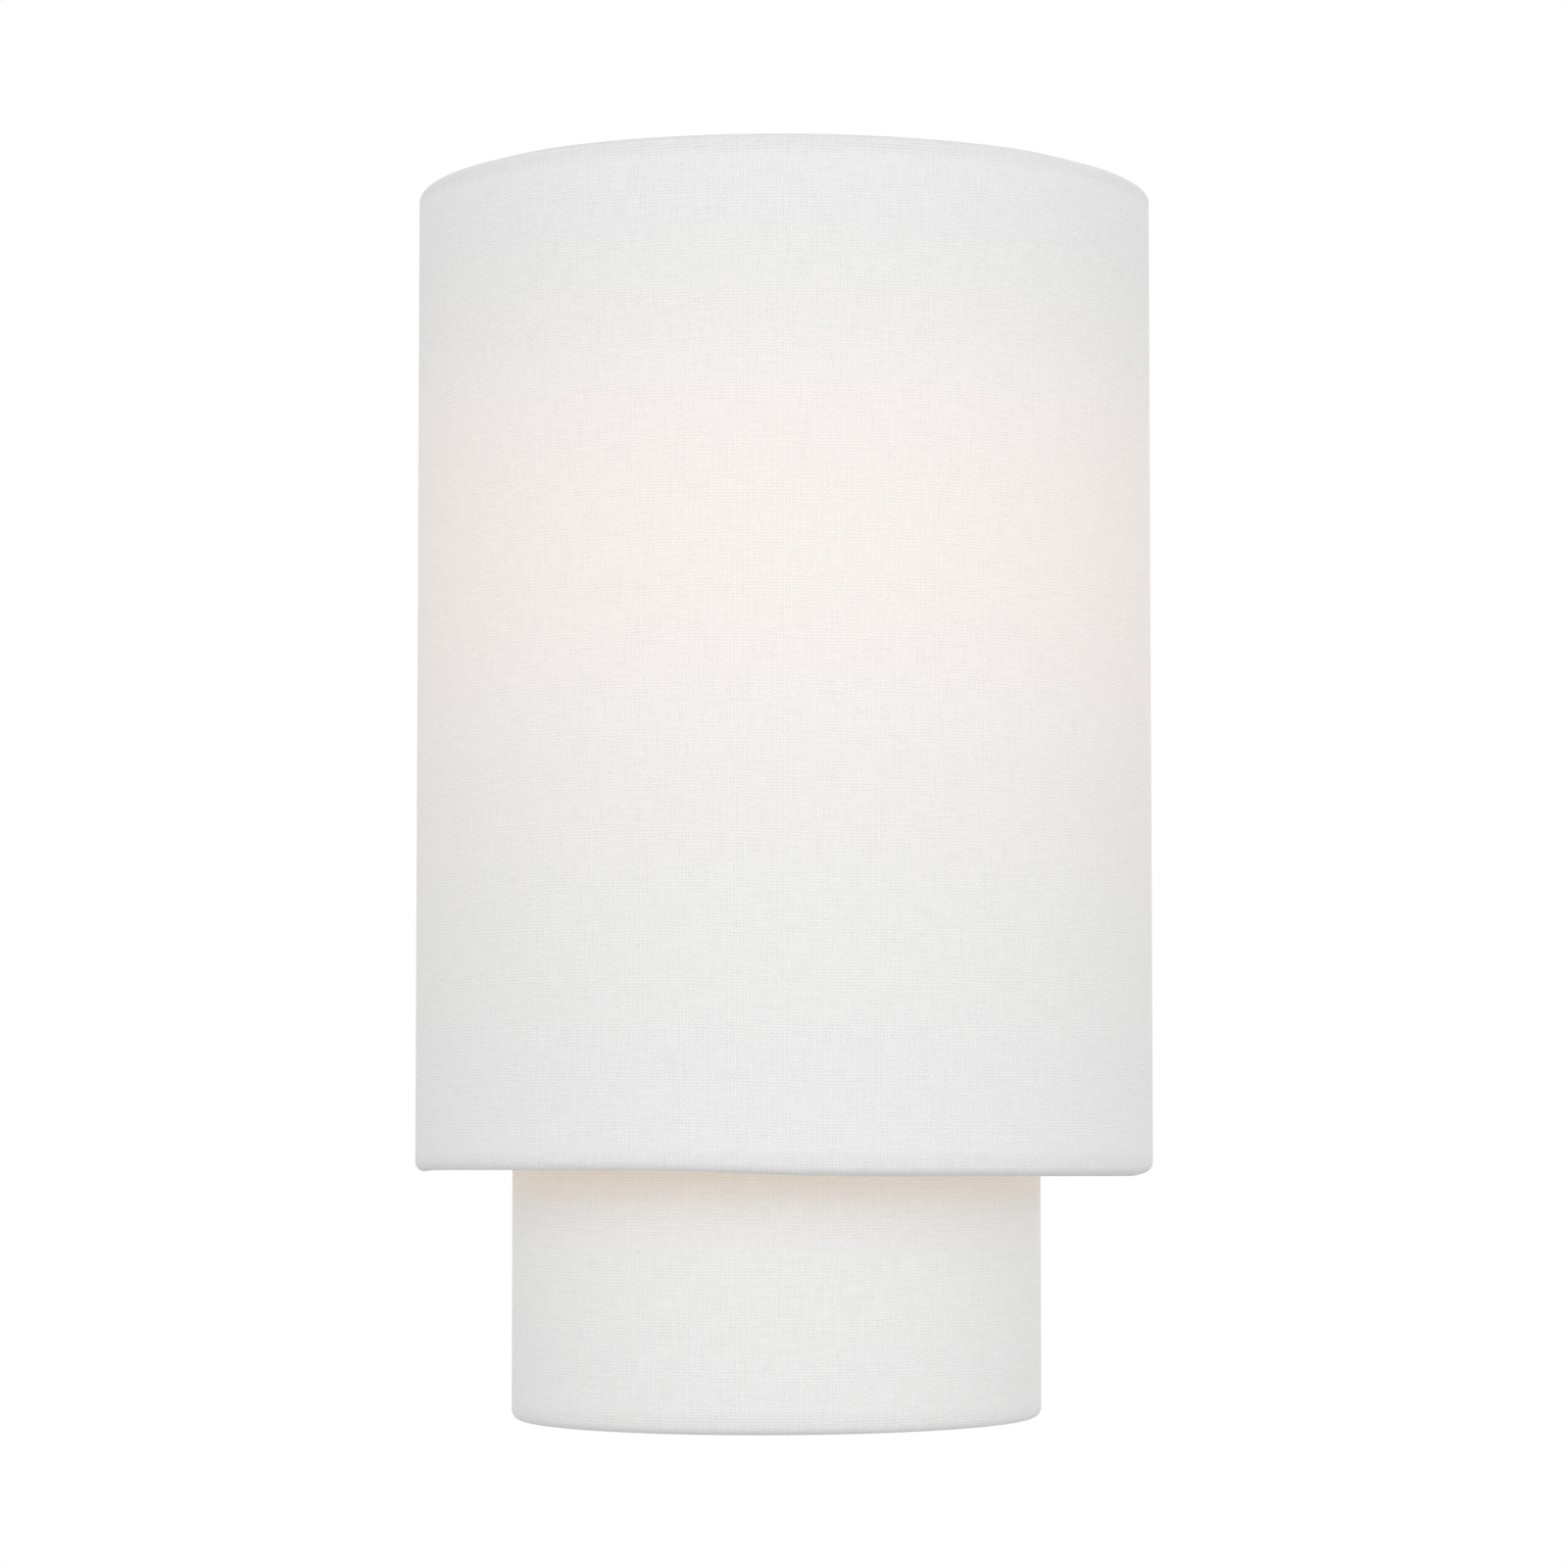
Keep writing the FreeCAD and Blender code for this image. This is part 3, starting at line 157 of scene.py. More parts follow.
def end_tree(tree, shape, finish):
    """Makes a tree's instances real, gives the shape its finish and puts it out."""
    real = add(tree, "GeometryNodeRealizeInstances", links={0: shape})
    dressed = add(tree, "GeometryNodeSetMaterial", links={"Geometry": real.outputs[0], "Material": finish})
    add(tree, "NodeGroupOutput", links={0: dressed.outputs[0]})


def grow(name, tree, mesh, body, slot, nodes=(), smooth=SMOOTH, **sizes):
    """Runs a tree with its sizes in millimetres or counts, and keeps the plain result as a piece."""
    finish = FINISHES[slot]
    piece = place_mesh(name, mesh)
    modifier = piece.modifiers.new(name, "NODES")
    modifier.node_group = tree
    for socket in tree.interface.items_tree:
        key = socket.name.replace(" ", "_")
        if key == "Finish":
            modifier[socket.identifier] = finish
        elif key in sizes:
            modifier[socket.identifier] = sizes[key] if isinstance(sizes[key], int) else sizes[key] * MM
    flatten(piece)
    dress(piece, body, finish, smooth)
    if nodes:
        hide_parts(*nodes)


def round_bars():
    """Round bars along the given lines, each as thick as its points say."""
    tree, given = new_tree("round_bars", Sides=20)
    line = add(tree, "GeometryNodeMeshToCurve", links={0: given["Points"]})
    size = add(tree, "GeometryNodeInputNamedAttribute", {"Name": "bar_radius"})
    ring = add(tree, "GeometryNodeCurvePrimitiveCircle", {"Radius": 1.0}, {"Resolution": given["Sides"]})
    bar = add(
        tree,
        "GeometryNodeCurveToMesh",
        {"Fill Caps": True},
        {"Curve": line.outputs[0], "Profile Curve": ring.outputs[0], "Scale": size.outputs[0]},
    )
    end_tree(tree, bar.outputs[0], given["Finish"])
    return tree


# A slotted screw's other sizes as multiples of the given ones: the tool that cuts its slot, the upright side
# of its head, the sloping crown, and how far down the shank goes, its top a little inside the head.
SCREW_FORM = {
    "slot length": ("Head radius", 3),
    "slot height": ("Slot depth", 2),
    "side height": ("Head height", 0.7),
    "crown foot": ("Head radius", 0.97),
    "crown top": ("Head radius", 0.78),
    "crown height": ("Head height", 0.5),
    "shank drop": ("Shank length", -0.98),
}
SCREW_SIDES = 48


def slotted_screws():
    """A slotted screw at each point, its head facing the way that the point says."""
    tree, given = new_tree(
        "slotted_screws",
        Head_radius=0.0026,
        Head_height=0.0016,
        Shank_radius=0.0015,
        Shank_length=0.01,
        Slot_width=0.0007,
        Slot_depth=0.0007,
    )
    form = {}
    for label, (source, factor) in SCREW_FORM.items():
        times = add(tree, "ShaderNodeMath", {1: factor}, {0: given[source]}, operation="MULTIPLY")
        form[label] = times.outputs[0]
    drums = []
    for foot, top, height in (
        (given["Head radius"], given["Head radius"], form["side height"]),
        (form["crown foot"], form["crown top"], form["crown height"]),
        (given["Shank radius"], given["Shank radius"], given["Shank length"]),
    ):
        sizes = {"Radius Bottom": foot, "Radius Top": top, "Depth": height}
        drums.append(add(tree, "GeometryNodeMeshCone", {"Vertices": SCREW_SIDES}, sizes).outputs["Mesh"])
    side, crown, shank = drums
    size = add(
        tree,
        "ShaderNodeCombineXYZ",
        links={"X": form["slot length"], "Y": given["Slot width"], "Z": form["slot height"]},
    )
    slot = add(tree, "GeometryNodeMeshCube", links={"Size": size.outputs[0]}).outputs["Mesh"]
    moved = []
    for shape, rise in (
        (slot, given["Head height"]),
        (crown, form["crown height"]),
        (shank, form["shank drop"]),
    ):
        place = add(tree, "ShaderNodeCombineXYZ", links={"Z": rise})
        shift = add(tree, "GeometryNodeTransform", links={"Geometry": shape, "Translation": place.outputs[0]})
        moved.append(shift.outputs[0])
    slot, crown, shank = moved
    screw = add(tree, "GeometryNodeJoinGeometry")
    for shape in (side, crown):
        cut = add(
            tree,
            "GeometryNodeMeshBoolean",
            links={"Mesh 1": shape, "Mesh 2": slot},
            operation="DIFFERENCE",
            solver="EXACT",
        )
        tree.links.new(cut.outputs[0], screw.inputs[0])
    tree.links.new(shank, screw.inputs[0])
    facing = add(tree, "GeometryNodeInputNamedAttribute", {"Name": "facing"}, data_type="FLOAT_VECTOR")
    turn = add(tree, "FunctionNodeAlignRotationToVector", links={"Vector": facing.outputs[0]}, axis="Z")
    screws = add(
        tree,
        "GeometryNodeInstanceOnPoints",
        links={"Points": given["Points"], "Instance": screw.outputs[0], "Rotation": turn.outputs[0]},
    )
    end_tree(tree, screws.outputs[0], given["Finish"])
    return tree


def knurled_ribs():
    """A ridge at each point, standing the way that the point faces and running along the screw. Each is a
    square bar turned to stand on its edge."""
    tree, given = new_tree("knurled_ribs", Rib_width=0.0004, Rib_length=0.006)
    size = add(
        tree,
        "ShaderNodeCombineXYZ",
        links={"X": given["Rib width"], "Y": given["Rib length"], "Z": given["Rib width"]},
    )
    bar = add(tree, "GeometryNodeMeshCube", links={"Size": size.outputs[0]}).outputs["Mesh"]
    edge = add(tree, "GeometryNodeTransform", {"Rotation": (0, math.pi / 4, 0)}, {"Geometry": bar})
    facing = add(tree, "GeometryNodeInputNamedAttribute", {"Name": "facing"}, data_type="FLOAT_VECTOR")
    along = add(tree, "FunctionNodeAlignRotationToVector", {"Vector": (0, 1, 0)}, axis="Y")
    turn = add(
        tree,
        "FunctionNodeAlignRotationToVector",
        links={"Rotation": along.outputs[0], "Vector": facing.outputs[0]},
        axis="Z",
        pivot_axis="Y",
    )
    ribs = add(
        tree,
        "GeometryNodeInstanceOnPoints",
        links={"Points": given["Points"], "Instance": edge.outputs[0], "Rotation": turn.outputs[0]},
    )
    end_tree(tree, ribs.outputs[0], given["Finish"])
    return tree


def lines(paths):
    """A mesh of open lines, each given as (points, bar radius) in millimetres."""
    mesh = bpy.data.meshes.new("lines")
    points, edges, sizes = [], [], []
    for path, radius in paths:
        first = len(points)
        points += metres(path)
        edges += [(n, n + 1) for n in range(first, len(points) - 1)]
        sizes += [radius * MM] * len(path)
    mesh.from_pydata(points, edges, [])
    mesh.attributes.new("bar_radius", "FLOAT", "POINT").data.foreach_set("value", sizes)
    return mesh


def spots(places):
    """A mesh of loose points, each given as (place, facing) with the place in millimetres."""
    mesh = bpy.data.meshes.new("spots")
    mesh.from_pydata(metres(place for place, _ in places), [], [])
    facings = mesh.attributes.new("facing", "FLOAT_VECTOR", "POINT")
    facings.data.foreach_set("vector", [part for _, facing in places for part in facing])
    return mesh


BARS, SCREWS, RIBS = round_bars(), slotted_screws(), knurled_ribs()


# Finishes


def ramp(tree, source, stops):
    """A colour that changes with a length: each stop is millimetres and a colour."""
    low, high = stops[0][0], stops[-1][0]
    along = add(tree, "ShaderNodeMapRange", {1: low * MM, 2: high * MM}, {0: source})
    blend = add(tree, "ShaderNodeValToRGB", links={0: along.outputs[0]})
    for level, _ in stops[1:-1]:
        blend.color_ramp.elements.new((level - low) / (high - low))
    for element, (_, colour) in zip(blend.color_ramp.elements, stops):
        element.color = srgb(colour)
    return blend.outputs["Color"]


# The weave, in millimetres: how far apart the threads lie, how high they stand and how far they stray.
THREAD_PITCH, THREAD_HEIGHT, STRAY = 0.8, 0.12, 0.6
# How often per millimetre a thread strays, and turns thick or thin.
STRAYS, SLUBS = 0.3, 0.12
# How soon a thread gives way to the one that crosses it, how much the knots add and how strong the bump is.
CROSSING, KNOTS, BUMP = 0.3, 0.5, 0.35
# Heights of the weave's relief at which the cloth's colour is darkest and palest, and those colours. The
# darker tone is partly the threads' own uneven tone and partly painted shade in the low gaps between threads.
GRAIN_LOW, GRAIN_HIGH = 0.75, 1.8
GAP_SHADE_AND_THREAD_TONE, GRAIN_PALE = "E2E2E2", "F7F7F7"
# Painted shade along the rolled hems, where less light reaches the roll: millimetres from the hem, and the
# tone that the cloth's colour is multiplied by there.
PAINTED_HEM_SHADE = [(0, "EEEEEE"), (1.2, "F7F7F7"), (3.5, "FAFAFA"), (6, "FFFFFF")]


def woven_cloth(name, glow, low, high):
    """Plain-weave polyester and cotton cloth laminated to a stiff white lining, lit from behind. Threads
    wander a little and run thick and thin, with knots, which gives the eye a fine, dry, slightly uneven linen
    grain. Its glow is the lamp's light, given as heights in millimetres and the colour added there; low and
    high are the heights of its two hems."""
    finish, tree, shader = new_finish(
        name,
        "F0F0F0",
        Roughness=0.92,
        Sheen_Weight=0.12,
        Sheen_Roughness=0.5,
        Specular_IOR_Level=0.2,
        Emission_Strength=1.0,
    )
    # Where each thread runs: the flat cloth, bent by a slow drift.
    flat = add(tree, "ShaderNodeUVMap", uv_map="cloth_mm").outputs["UV"]
    drift = add(tree, "ShaderNodeTexNoise", {"Scale": STRAYS, "Detail": 1.0}, {"Vector": flat})
    bent = add(
        tree,
        "ShaderNodeVectorMath",
        {1: (STRAY, STRAY, 0)},
        {0: drift.outputs["Color"], 2: flat},
        operation="MULTIPLY_ADD",
    )
    weave = bent.outputs[0]
    # Warp and weft as two waves, one over the other in turn.
    split = add(tree, "ShaderNodeSeparateXYZ", links={0: weave})
    waves, ridges = [], []
    for axis in ("X", "Y"):
        along = split.outputs[axis]
        turn = add(tree, "ShaderNodeMath", {1: math.pi / THREAD_PITCH}, {0: along}, operation="MULTIPLY")
        wave = add(tree, "ShaderNodeMath", links={0: turn.outputs[0]}, operation="SINE").outputs[0]
        waves.append(wave)
        ridges.append(add(tree, "ShaderNodeMath", links={0: wave}, operation="ABSOLUTE").outputs[0])
    both = add(tree, "ShaderNodeMath", links={0: waves[0], 1: waves[1]}, operation="MULTIPLY")
    over = add(tree, "ShaderNodeMapRange", {1: -CROSSING, 2: CROSSING}, {0: both.outputs[0]}).outputs[0]
    threads = add(tree, "ShaderNodeMix", links={0: over, 2: ridges[1], 3: ridges[0]})
    # Slubs run along their own threads, and knots sit anywhere.
    slubs = []
    for stretch in ((1 / THREAD_PITCH, SLUBS, 0), (SLUBS, 1 / THREAD_PITCH, 0)):
        run = add(tree, "ShaderNodeMapping", {"Scale": stretch}, {"Vector": weave})
        uneven = add(tree, "ShaderNodeTexNoise", {"Scale": 1.0, "Detail": 1.0}, {"Vector": run.outputs[0]})
        slubs.append(uneven.outputs["Fac"])
    slub = add(tree, "ShaderNodeMix", links={0: over, 2: slubs[1], 3: slubs[0]})
    knots = add(tree, "ShaderNodeTexNoise", {"Scale": 1 / THREAD_PITCH, "Detail": 1.0}, {"Vector": flat})
    grain = add(
        tree,
        "ShaderNodeMath",
        {1: KNOTS},
        {0: knots.outputs["Fac"], 2: slub.outputs[0]},
        operation="MULTIPLY_ADD",
    )
    relief = add(tree, "ShaderNodeMath", links={0: threads.outputs[0], 1: grain.outputs[0]}, operation="ADD")
    bump = add(
        tree,
        "ShaderNodeBump",
        {"Strength": BUMP, "Distance": THREAD_HEIGHT * MM},
        {"Height": relief.outputs[0]},
    )
    tree.links.new(bump.outputs[0], shader.inputs["Normal"])
    # Painted shade mixed with the threads' own uneven tone: the cloth turns darker where the weave's relief
    # is low, between the threads.
    depth = add(tree, "ShaderNodeMapRange", {1: GRAIN_LOW, 2: GRAIN_HIGH}, {0: relief.outputs[0]})
    colour = add(
        tree,
        "ShaderNodeMix",
        {6: srgb(GAP_SHADE_AND_THREAD_TONE), 7: srgb(GRAIN_PALE)},
        {0: depth.outputs[0]},
        data_type="RGBA",
    )
    # The hems' shade and the glow go by height.
    place = add(tree, "ShaderNodeTexCoord").outputs["Object"]
    level = add(tree, "ShaderNodeSeparateXYZ", links={0: place}).outputs["Z"]
    above = add(tree, "ShaderNodeMath", {1: low * MM}, {0: level}, operation="SUBTRACT")
    below = add(tree, "ShaderNodeMath", {0: high * MM}, {1: level}, operation="SUBTRACT")
    edge = add(tree, "ShaderNodeMath", links={0: above.outputs[0], 1: below.outputs[0]}, operation="MINIMUM")
    # Painted shade: the cloth's colour darkens towards each hem.
    hem_shaded = ramp(tree, edge.outputs[0], PAINTED_HEM_SHADE)
    toned = add(tree, "ShaderNodeVectorMath", links={0: colour.outputs[2], 1: hem_shaded}, operation="MULTIPLY")
    tree.links.new(toned.outputs[0], shader.inputs["Base Color"])
    tree.links.new(ramp(tree, level, glow), shader.inputs["Emission Color"])
    return finish


# How finely every other finish's surface is broken up, and how strong its bump is.
GRAIN_DETAIL, GRAIN_BUMP = 4.0, 0.4


def grained(name, colour, other, grain, depth, stretch=(1, 1, 1), **constants):
    """A finish with a fine uneven surface: two close colours and a bump, both from one noise. The size of
    its grain and its depth are in millimetres."""
    finish, tree, shader = new_finish(name, colour, **constants)
    place = add(tree, "ShaderNodeTexCoord").outputs["Object"]
    scale = tuple(s / (grain * MM) for s in stretch)
    run = add(tree, "ShaderNodeMapping", {"Scale": scale}, {"Vector": place}).outputs[0]
    noise = add(tree, "ShaderNodeTexNoise", {"Scale": 1.0, "Detail": GRAIN_DETAIL}, {"Vector": run})
    uneven = noise.outputs["Fac"]
    mix = add(tree, "ShaderNodeMix", {6: srgb(colour), 7: srgb(other)}, {0: uneven}, data_type="RGBA")
    tree.links.new(mix.outputs[2], shader.inputs["Base Color"])
    bump = add(tree, "ShaderNodeBump", {"Strength": GRAIN_BUMP, "Distance": depth * MM}, {"Height": uneven})
    tree.links.new(bump.outputs[0], shader.inputs["Normal"])
    return finish


FINISHES = {
    # Styrene sheet that stiffens the cloth: smooth, a little glossy, faintly warm.
    "shade_lining": grained("styrene_lining", "F1EFEA", "E9E6DF", 6, 0.02, Roughness=0.45, IOR=1.59),
    # Drawn steel wire with a thin white powder coat: an even satin white with a faint orange peel.
    "frame_wire": grained("powder_coated_wire", "EDECE8", "E6E4DF", 1.2, 0.006, Roughness=0.4),
    # Deep-drawn steel pan, sprayed with stoved enamel: smooth white with soft highlights.
    "white_enamel": grained("stoved_enamel", "F0EFEC", "E8E7E3", 1.5, 0.015, Roughness=0.32, Coat_Weight=0.3),
    # Zinc-plated mild steel: bluish grey spangle with rolling lines along the strip.
    "zinc_plate": grained(
        "zinc_plate", "C3C6C9", "A3A8AD", 2.5, 0.02, (0.25, 1, 1), Metallic=1.0, Roughness=0.36
    ),
    # Nickel-plated turned steel: bright, slightly yellow, with fine turning rings.
    "nickel_plate": grained(
        "nickel_plate", "D3CCBF", "BDB6A9", 0.8, 0.008, (1, 0.2, 1), Metallic=1.0, Roughness=0.2
    ),
    # Steel screw dyed green, the sign for earth: zinc under a thin green lacquer.
    "green_screw": grained("green_dyed_zinc", "2F7A49", "235F38", 0.8, 0.01, Metallic=0.8, Roughness=0.35),
    # Extruded soft plastic lead covers, faintly drawn along their length.
    "green_lead": grained("green_lead_cover", "2C8A4B", "267A42", 0.9, 0.02, Roughness=0.42),
    "black_lead": grained("black_lead_cover", "1B1B1C", "252526", 0.9, 0.02, Roughness=0.4),
    "white_lead": grained("white_lead_cover", "E8E6E0", "DEDBD4", 0.9, 0.02, Roughness=0.42),
    # Moulded nylon: matt from the mould's fine spark finish.
    "black_nylon": grained("black_nylon", "1A1A1B", "232324", 0.25, 0.02, Roughness=0.55),
    "white_nylon": grained("white_nylon", "E9E7DF", "E0DDD3", 0.25, 0.02, Roughness=0.5),
    # Pressed and glazed porcelain: glassy white over a slightly wavy body.
    "porcelain": grained("glazed_porcelain", "F2F0EA", "EAE7DF", 4, 0.05, Roughness=0.12, Coat_Weight=0.6),
    # Brass strip and bar, dulled by handling.
    "brass": grained("brass", "C9A55C", "B08C46", 1.5, 0.01, Metallic=1.0, Roughness=0.28),
    # Aluminium cap of the lamp, rolled with its thread.
    "lamp_cap": grained("rolled_aluminium", "D8D8D6", "C4C4C2", 1.5, 0.01, Metallic=1.0, Roughness=0.26),
    # Black glass that holds the lamp's contact.
    "black_glass": grained("black_glass", "0D0B10", "16121A", 3, 0.02, Roughness=0.08),
    # Tin solder, a soft grey bead.
    "solder": grained("solder", "B9BABC", "A2A3A6", 0.9, 0.03, Metallic=1.0, Roughness=0.4),
    # Tungsten wire, dark grey.
    "filament": grained("tungsten", "5C5B5E", "49484B", 0.3, 0.01, Metallic=1.0, Roughness=0.45),
    # Clear soda glass of the lamp's foot.
    "clear_glass": grained(
        "clear_glass", "FFFFFF", "F4F8F6", 3, 0.01, Roughness=0.03, Transmission_Weight=1.0
    ),
    # Glass etched inside: it scatters the lamp's light evenly and looks softly white.
    "frosted_glass": grained(
        "etched_glass",
        "F7F4EE",
        "F1EDE4",
        0.4,
        0.01,
        Roughness=0.3,
        Emission_Color=srgb("FFDDB4"),
        Emission_Strength=1.6,
    ),
}

# The lamp lights the upper tier's middle from behind.
UPPER_GLOW = [
    (-110, "000000"), (-70, "231F18"), (-35, "393022"), (-5, "513926"),
    (30, "563F28"), (67, "503723"), (92, "2F2718"), (113, "000000"),
]
# Its light also comes down between the tiers: warm under the upper hem, then paler and fainter.
LOWER_GLOW = [
    (-195, "000000"), (-173, "2D2D2E"), (-157, "3F4042"), (-147, "4B4942"),
    (-142, "5A4631"), (-136, "6A5430"), (-125, "6A5430"),
]
# Heights of each tier's hems, where the cloth settles.
UPPER_HEMS, LOWER_HEMS = (-135.8, 135.6), (-204.2, -114.5)

upper_cloth = woven_cloth("upper_woven_cloth", UPPER_GLOW, *UPPER_HEMS)
lower_cloth = woven_cloth("lower_woven_cloth", LOWER_GLOW, *LOWER_HEMS)
FINISHES["shade_cloth"] = upper_cloth

for part in frame["record"]["subparts"]:
    for holder in NODES[part["node"]].material_slots:
        holder.material = FINISHES[part["material_slot"]]


# Cloth, lining and wires of the two tiers, in millimetres

# The angle that each tier spans, and the faces round it, up its cloth, up its lining and round a hem.
WRAP = math.radians(178)
STEPS, FACE_ROWS, LINING_ROWS, ROLL_STEPS = 160, 24, 12, 18
ANGLES = [WRAP * (step / STEPS - 0.5) for step in range(STEPS + 1)]
# How thick cloth and lining are, the radii of hem wires and stays, and how much cloth is turned in.
CLOTH, LINING, WIRE, STAY, TURN_IN = 0.6, 0.4, 2.0, 1.8, 12
HEM = WIRE + CLOTH
# How far the stays stand off the lining, and how far the rear bars stand off the wall.
STAY_GAP, BAR_Y = 0.1, -4
# Slits leave this much round the wires, and what cuts them reaches this far past the wall and the hems.
SLIT_ROOM, PAST_WALL, PAST_HEM = 0.4, 1, 9
LOWER_RADIUS = 72.8

# The upper tier's top falls a little to the right and at its corners. Its lower hem steps down from left to
# right, near the middle. The lower tier's hem rises from its front to the wall, and a little to the right.
TOP_FALL, TOP_CORNERS = 0.002, 0.4
HEM_DROP, HEM_HALF_STEP = 0.45, 0.8
STEP_PLACE, STEP_REACH = -10, 18
LOWER_RISE, LOWER_TILT, LOWER_DROP = 1.9, 0.0044, 0.22
# Where each lean starts and where it is full: down each tier, out to a corner and forward of the rear bars.
DOWN_UPPER, DOWN_LOWER, TO_CORNER, TO_FRONT = (100, -100), (-120, -200), (62, 78), (-6, -32)


def share(value, start, end):
    """How far a value has come from start to end, from 0 to 1."""
    return min(1.0, max(0.0, (value - start) / (end - start)))


def upper_lean(x, y, z):
    """How far the upper tier's cloth stands off level. Nothing moves at its rear bars."""
    low = share(z, *DOWN_UPPER)
    top = -TOP_FALL * x - TOP_CORNERS * share(abs(x), *TO_CORNER)
    hem = HEM_DROP + HEM_HALF_STEP * math.tanh((x - STEP_PLACE) / STEP_REACH)
    return share(y, *TO_FRONT) * (top * (1 - low) - hem * low)


def lower_lean(x, y, z):
    """How far the lower tier's cloth stands off level, from inside the upper tier down to its hem."""
    rise = LOWER_TILT * x + LOWER_RISE * (1 + y / LOWER_RADIUS) - LOWER_DROP
    return rise * share(z, *DOWN_LOWER)


upper = dict(radius=101.6, x=0.0, low=-135.5, high=135.5, lean=upper_lean, finish=upper_cloth)
lower = dict(radius=LOWER_RADIUS, x=-2.1, low=-204.5, high=-114.5, lean=lower_lean, finish=lower_cloth)


def rounded(points, passes=2):
    """Cuts the corners of an open line, its ends kept."""
    for _ in range(passes):
        cut = [points[0]]
        for (r0, z0), (r1, z1) in zip(points, points[1:]):
            cut.append((0.75 * r0 + 0.25 * r1, 0.75 * z0 + 0.25 * z1))
            cut.append((0.25 * r0 + 0.75 * r1, 0.25 * z0 + 0.75 * z1))
        points = cut + [points[-1]]
    return points


def hem_line(radius, high):
    """The cloth's show side from the face over the upper hem to the end of the turned-in edge: (r, z)."""
    ring_r, ring_z = radius - HEM, high - HEM
    turns = [math.pi * n / ROLL_STEPS for n in range(ROLL_STEPS + 1)]
    roll = [(ring_r + HEM * math.cos(a), ring_z + HEM * math.sin(a)) for a in turns]
    inside = radius - CLOTH - LINING - CLOTH
    fold = [(ring_r - HEM, ring_z - WIRE), (inside, ring_z - 3 * WIRE), (inside, ring_z - TURN_IN)]
    return roll + rounded([roll[-1]] + fold)[1:]


def wrapped(tier, ring):
    """A closed section of (r, z) carried round a tier, with its lean: the points and faces, ends closed."""
    count = len(ring)
    vertices, faces = [], []
    for angle in ANGLES:
        for r, z in ring:
            x, y = tier["x"] + r * math.sin(angle), -r * math.cos(angle)
            vertices.append((x, y, z + tier["lean"](x, y, z)))
    for step in range(STEPS):
        a, b = step * count, (step + 1) * count
        for n in range(count):
            m = (n + 1) % count
            faces.append((a + n, b + n, b + m, a + m))
    for start, flip in ((0, False), (STEPS * count, True)):
        for n in range(count // 2 - 1):
            quad = (start + n, start + n + 1, start + count - 2 - n, start + count - 1 - n)
            faces.append(quad[::-1] if flip else quad)
    return vertices, faces


def cloth(name, tier, node):
    """The tier's cloth as one folded sheet: face, both rolled hems and both turned-in edges."""
    radius, middle = tier["radius"], (tier["low"] + tier["high"]) / 2
    half = tier["high"] - middle
    top, edge = hem_line(radius, half), half - HEM
    face = [(radius, -edge + 2 * edge * n / FACE_ROWS) for n in range(1, FACE_ROWS)]
    show_side = [(r, -z) for r, z in reversed(top)] + face + top
    back_side, travelled, along = [], 0.0, []
    for n, point in enumerate(show_side):
        before, after = show_side[max(n - 1, 0)], show_side[min(n + 1, len(show_side) - 1)]
        run = Vector((after[0] - before[0], after[1] - before[1])).normalized()
        back_side.append((point[0] - run.y * CLOTH, point[1] + run.x * CLOTH))
        travelled += math.dist(before, point)
        along.append(travelled)
    ring = [(r, middle + z) for r, z in show_side + back_side[::-1]]
    vertices, faces = wrapped(tier, ring)
    piece = show(name, vertices, faces, "shade", tier["finish"])
    # The flat cloth's own millimetres, for the weave.
    uvs = [(radius * angle, v) for angle in ANGLES for v in along + along[::-1]]
    layer = piece.data.uv_layers.new(name="cloth_mm")
    for loop in piece.data.loops:
        layer.data[loop.index].uv = uvs[loop.vertex_index]
    cut_rear(piece, tier)
    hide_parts(node)


# A box's faces, its corners listed by x, then y, then z.
BOX_FACES = [(0, 1, 3, 2), (4, 6, 7, 5), (0, 4, 5, 1), (2, 3, 7, 6), (0, 2, 6, 4), (1, 5, 7, 3)]


def cut_rear(piece, tier):
    """Clears the turned-in cloth from the rear bars and stays."""
    near = tier["radius"] - 2 * HEM - SLIT_ROOM
    far = tier["radius"] - CLOTH - LINING
    depths = (BAR_Y - WIRE - SLIT_ROOM, PAST_WALL)
    heights = (tier["low"] - PAST_HEM, tier["high"] + PAST_HEM)
    for hand in (-1, 1):
        sides = sorted((tier["x"] + hand * near, tier["x"] + hand * far))
        corners = [(x, y, z) for x in sides for y in depths for z in heights]
        mesh = bpy.data.meshes.new("slit")
        mesh.from_pydata(metres(corners), [], BOX_FACES)
        box = place_mesh("slit", mesh)
        slit = piece.modifiers.new("slit", "BOOLEAN")
        slit.operation, slit.object, slit.solver = "DIFFERENCE", box, "EXACT"
        flatten(piece)
        bpy.data.objects.remove(box)


def leaning(points, lean):
    """Points moved up or down by a tier's lean."""
    return [(x, y, z + lean(x, y, z)) for x, y, z in points]


def bow(tier, z):
    """The hem wire's line round a tier."""
    reach = tier["radius"] - HEM
    points = [(tier["x"] + reach * math.sin(a), -reach * math.cos(a), z) for a in ANGLES]
    return leaning(points, tier["lean"])


def back_bar(tier, z):
    """The line of the bar that joins a hem wire's ends."""
    half = math.sqrt((tier["radius"] - HEM) ** 2 - BAR_Y**2)
    return leaning([(tier["x"] + side, BAR_Y, z) for side in (-half, 0, half)], tier["lean"])


def stays(tier, spans):
    """A tier's upright wires, left and right, over the given spans of height."""
    reach = tier["radius"] - CLOTH - LINING - STAY_GAP - STAY
    half = math.sqrt(reach**2 - BAR_Y**2)
    bars = []
    for side in (-half, half):
        for low, high in spans:
            upright = [(tier["x"] + side, BAR_Y, z) for z in (low, (low + high) / 2, high)]
            bars.append((leaning(upright, tier["lean"]), STAY))
    return bars


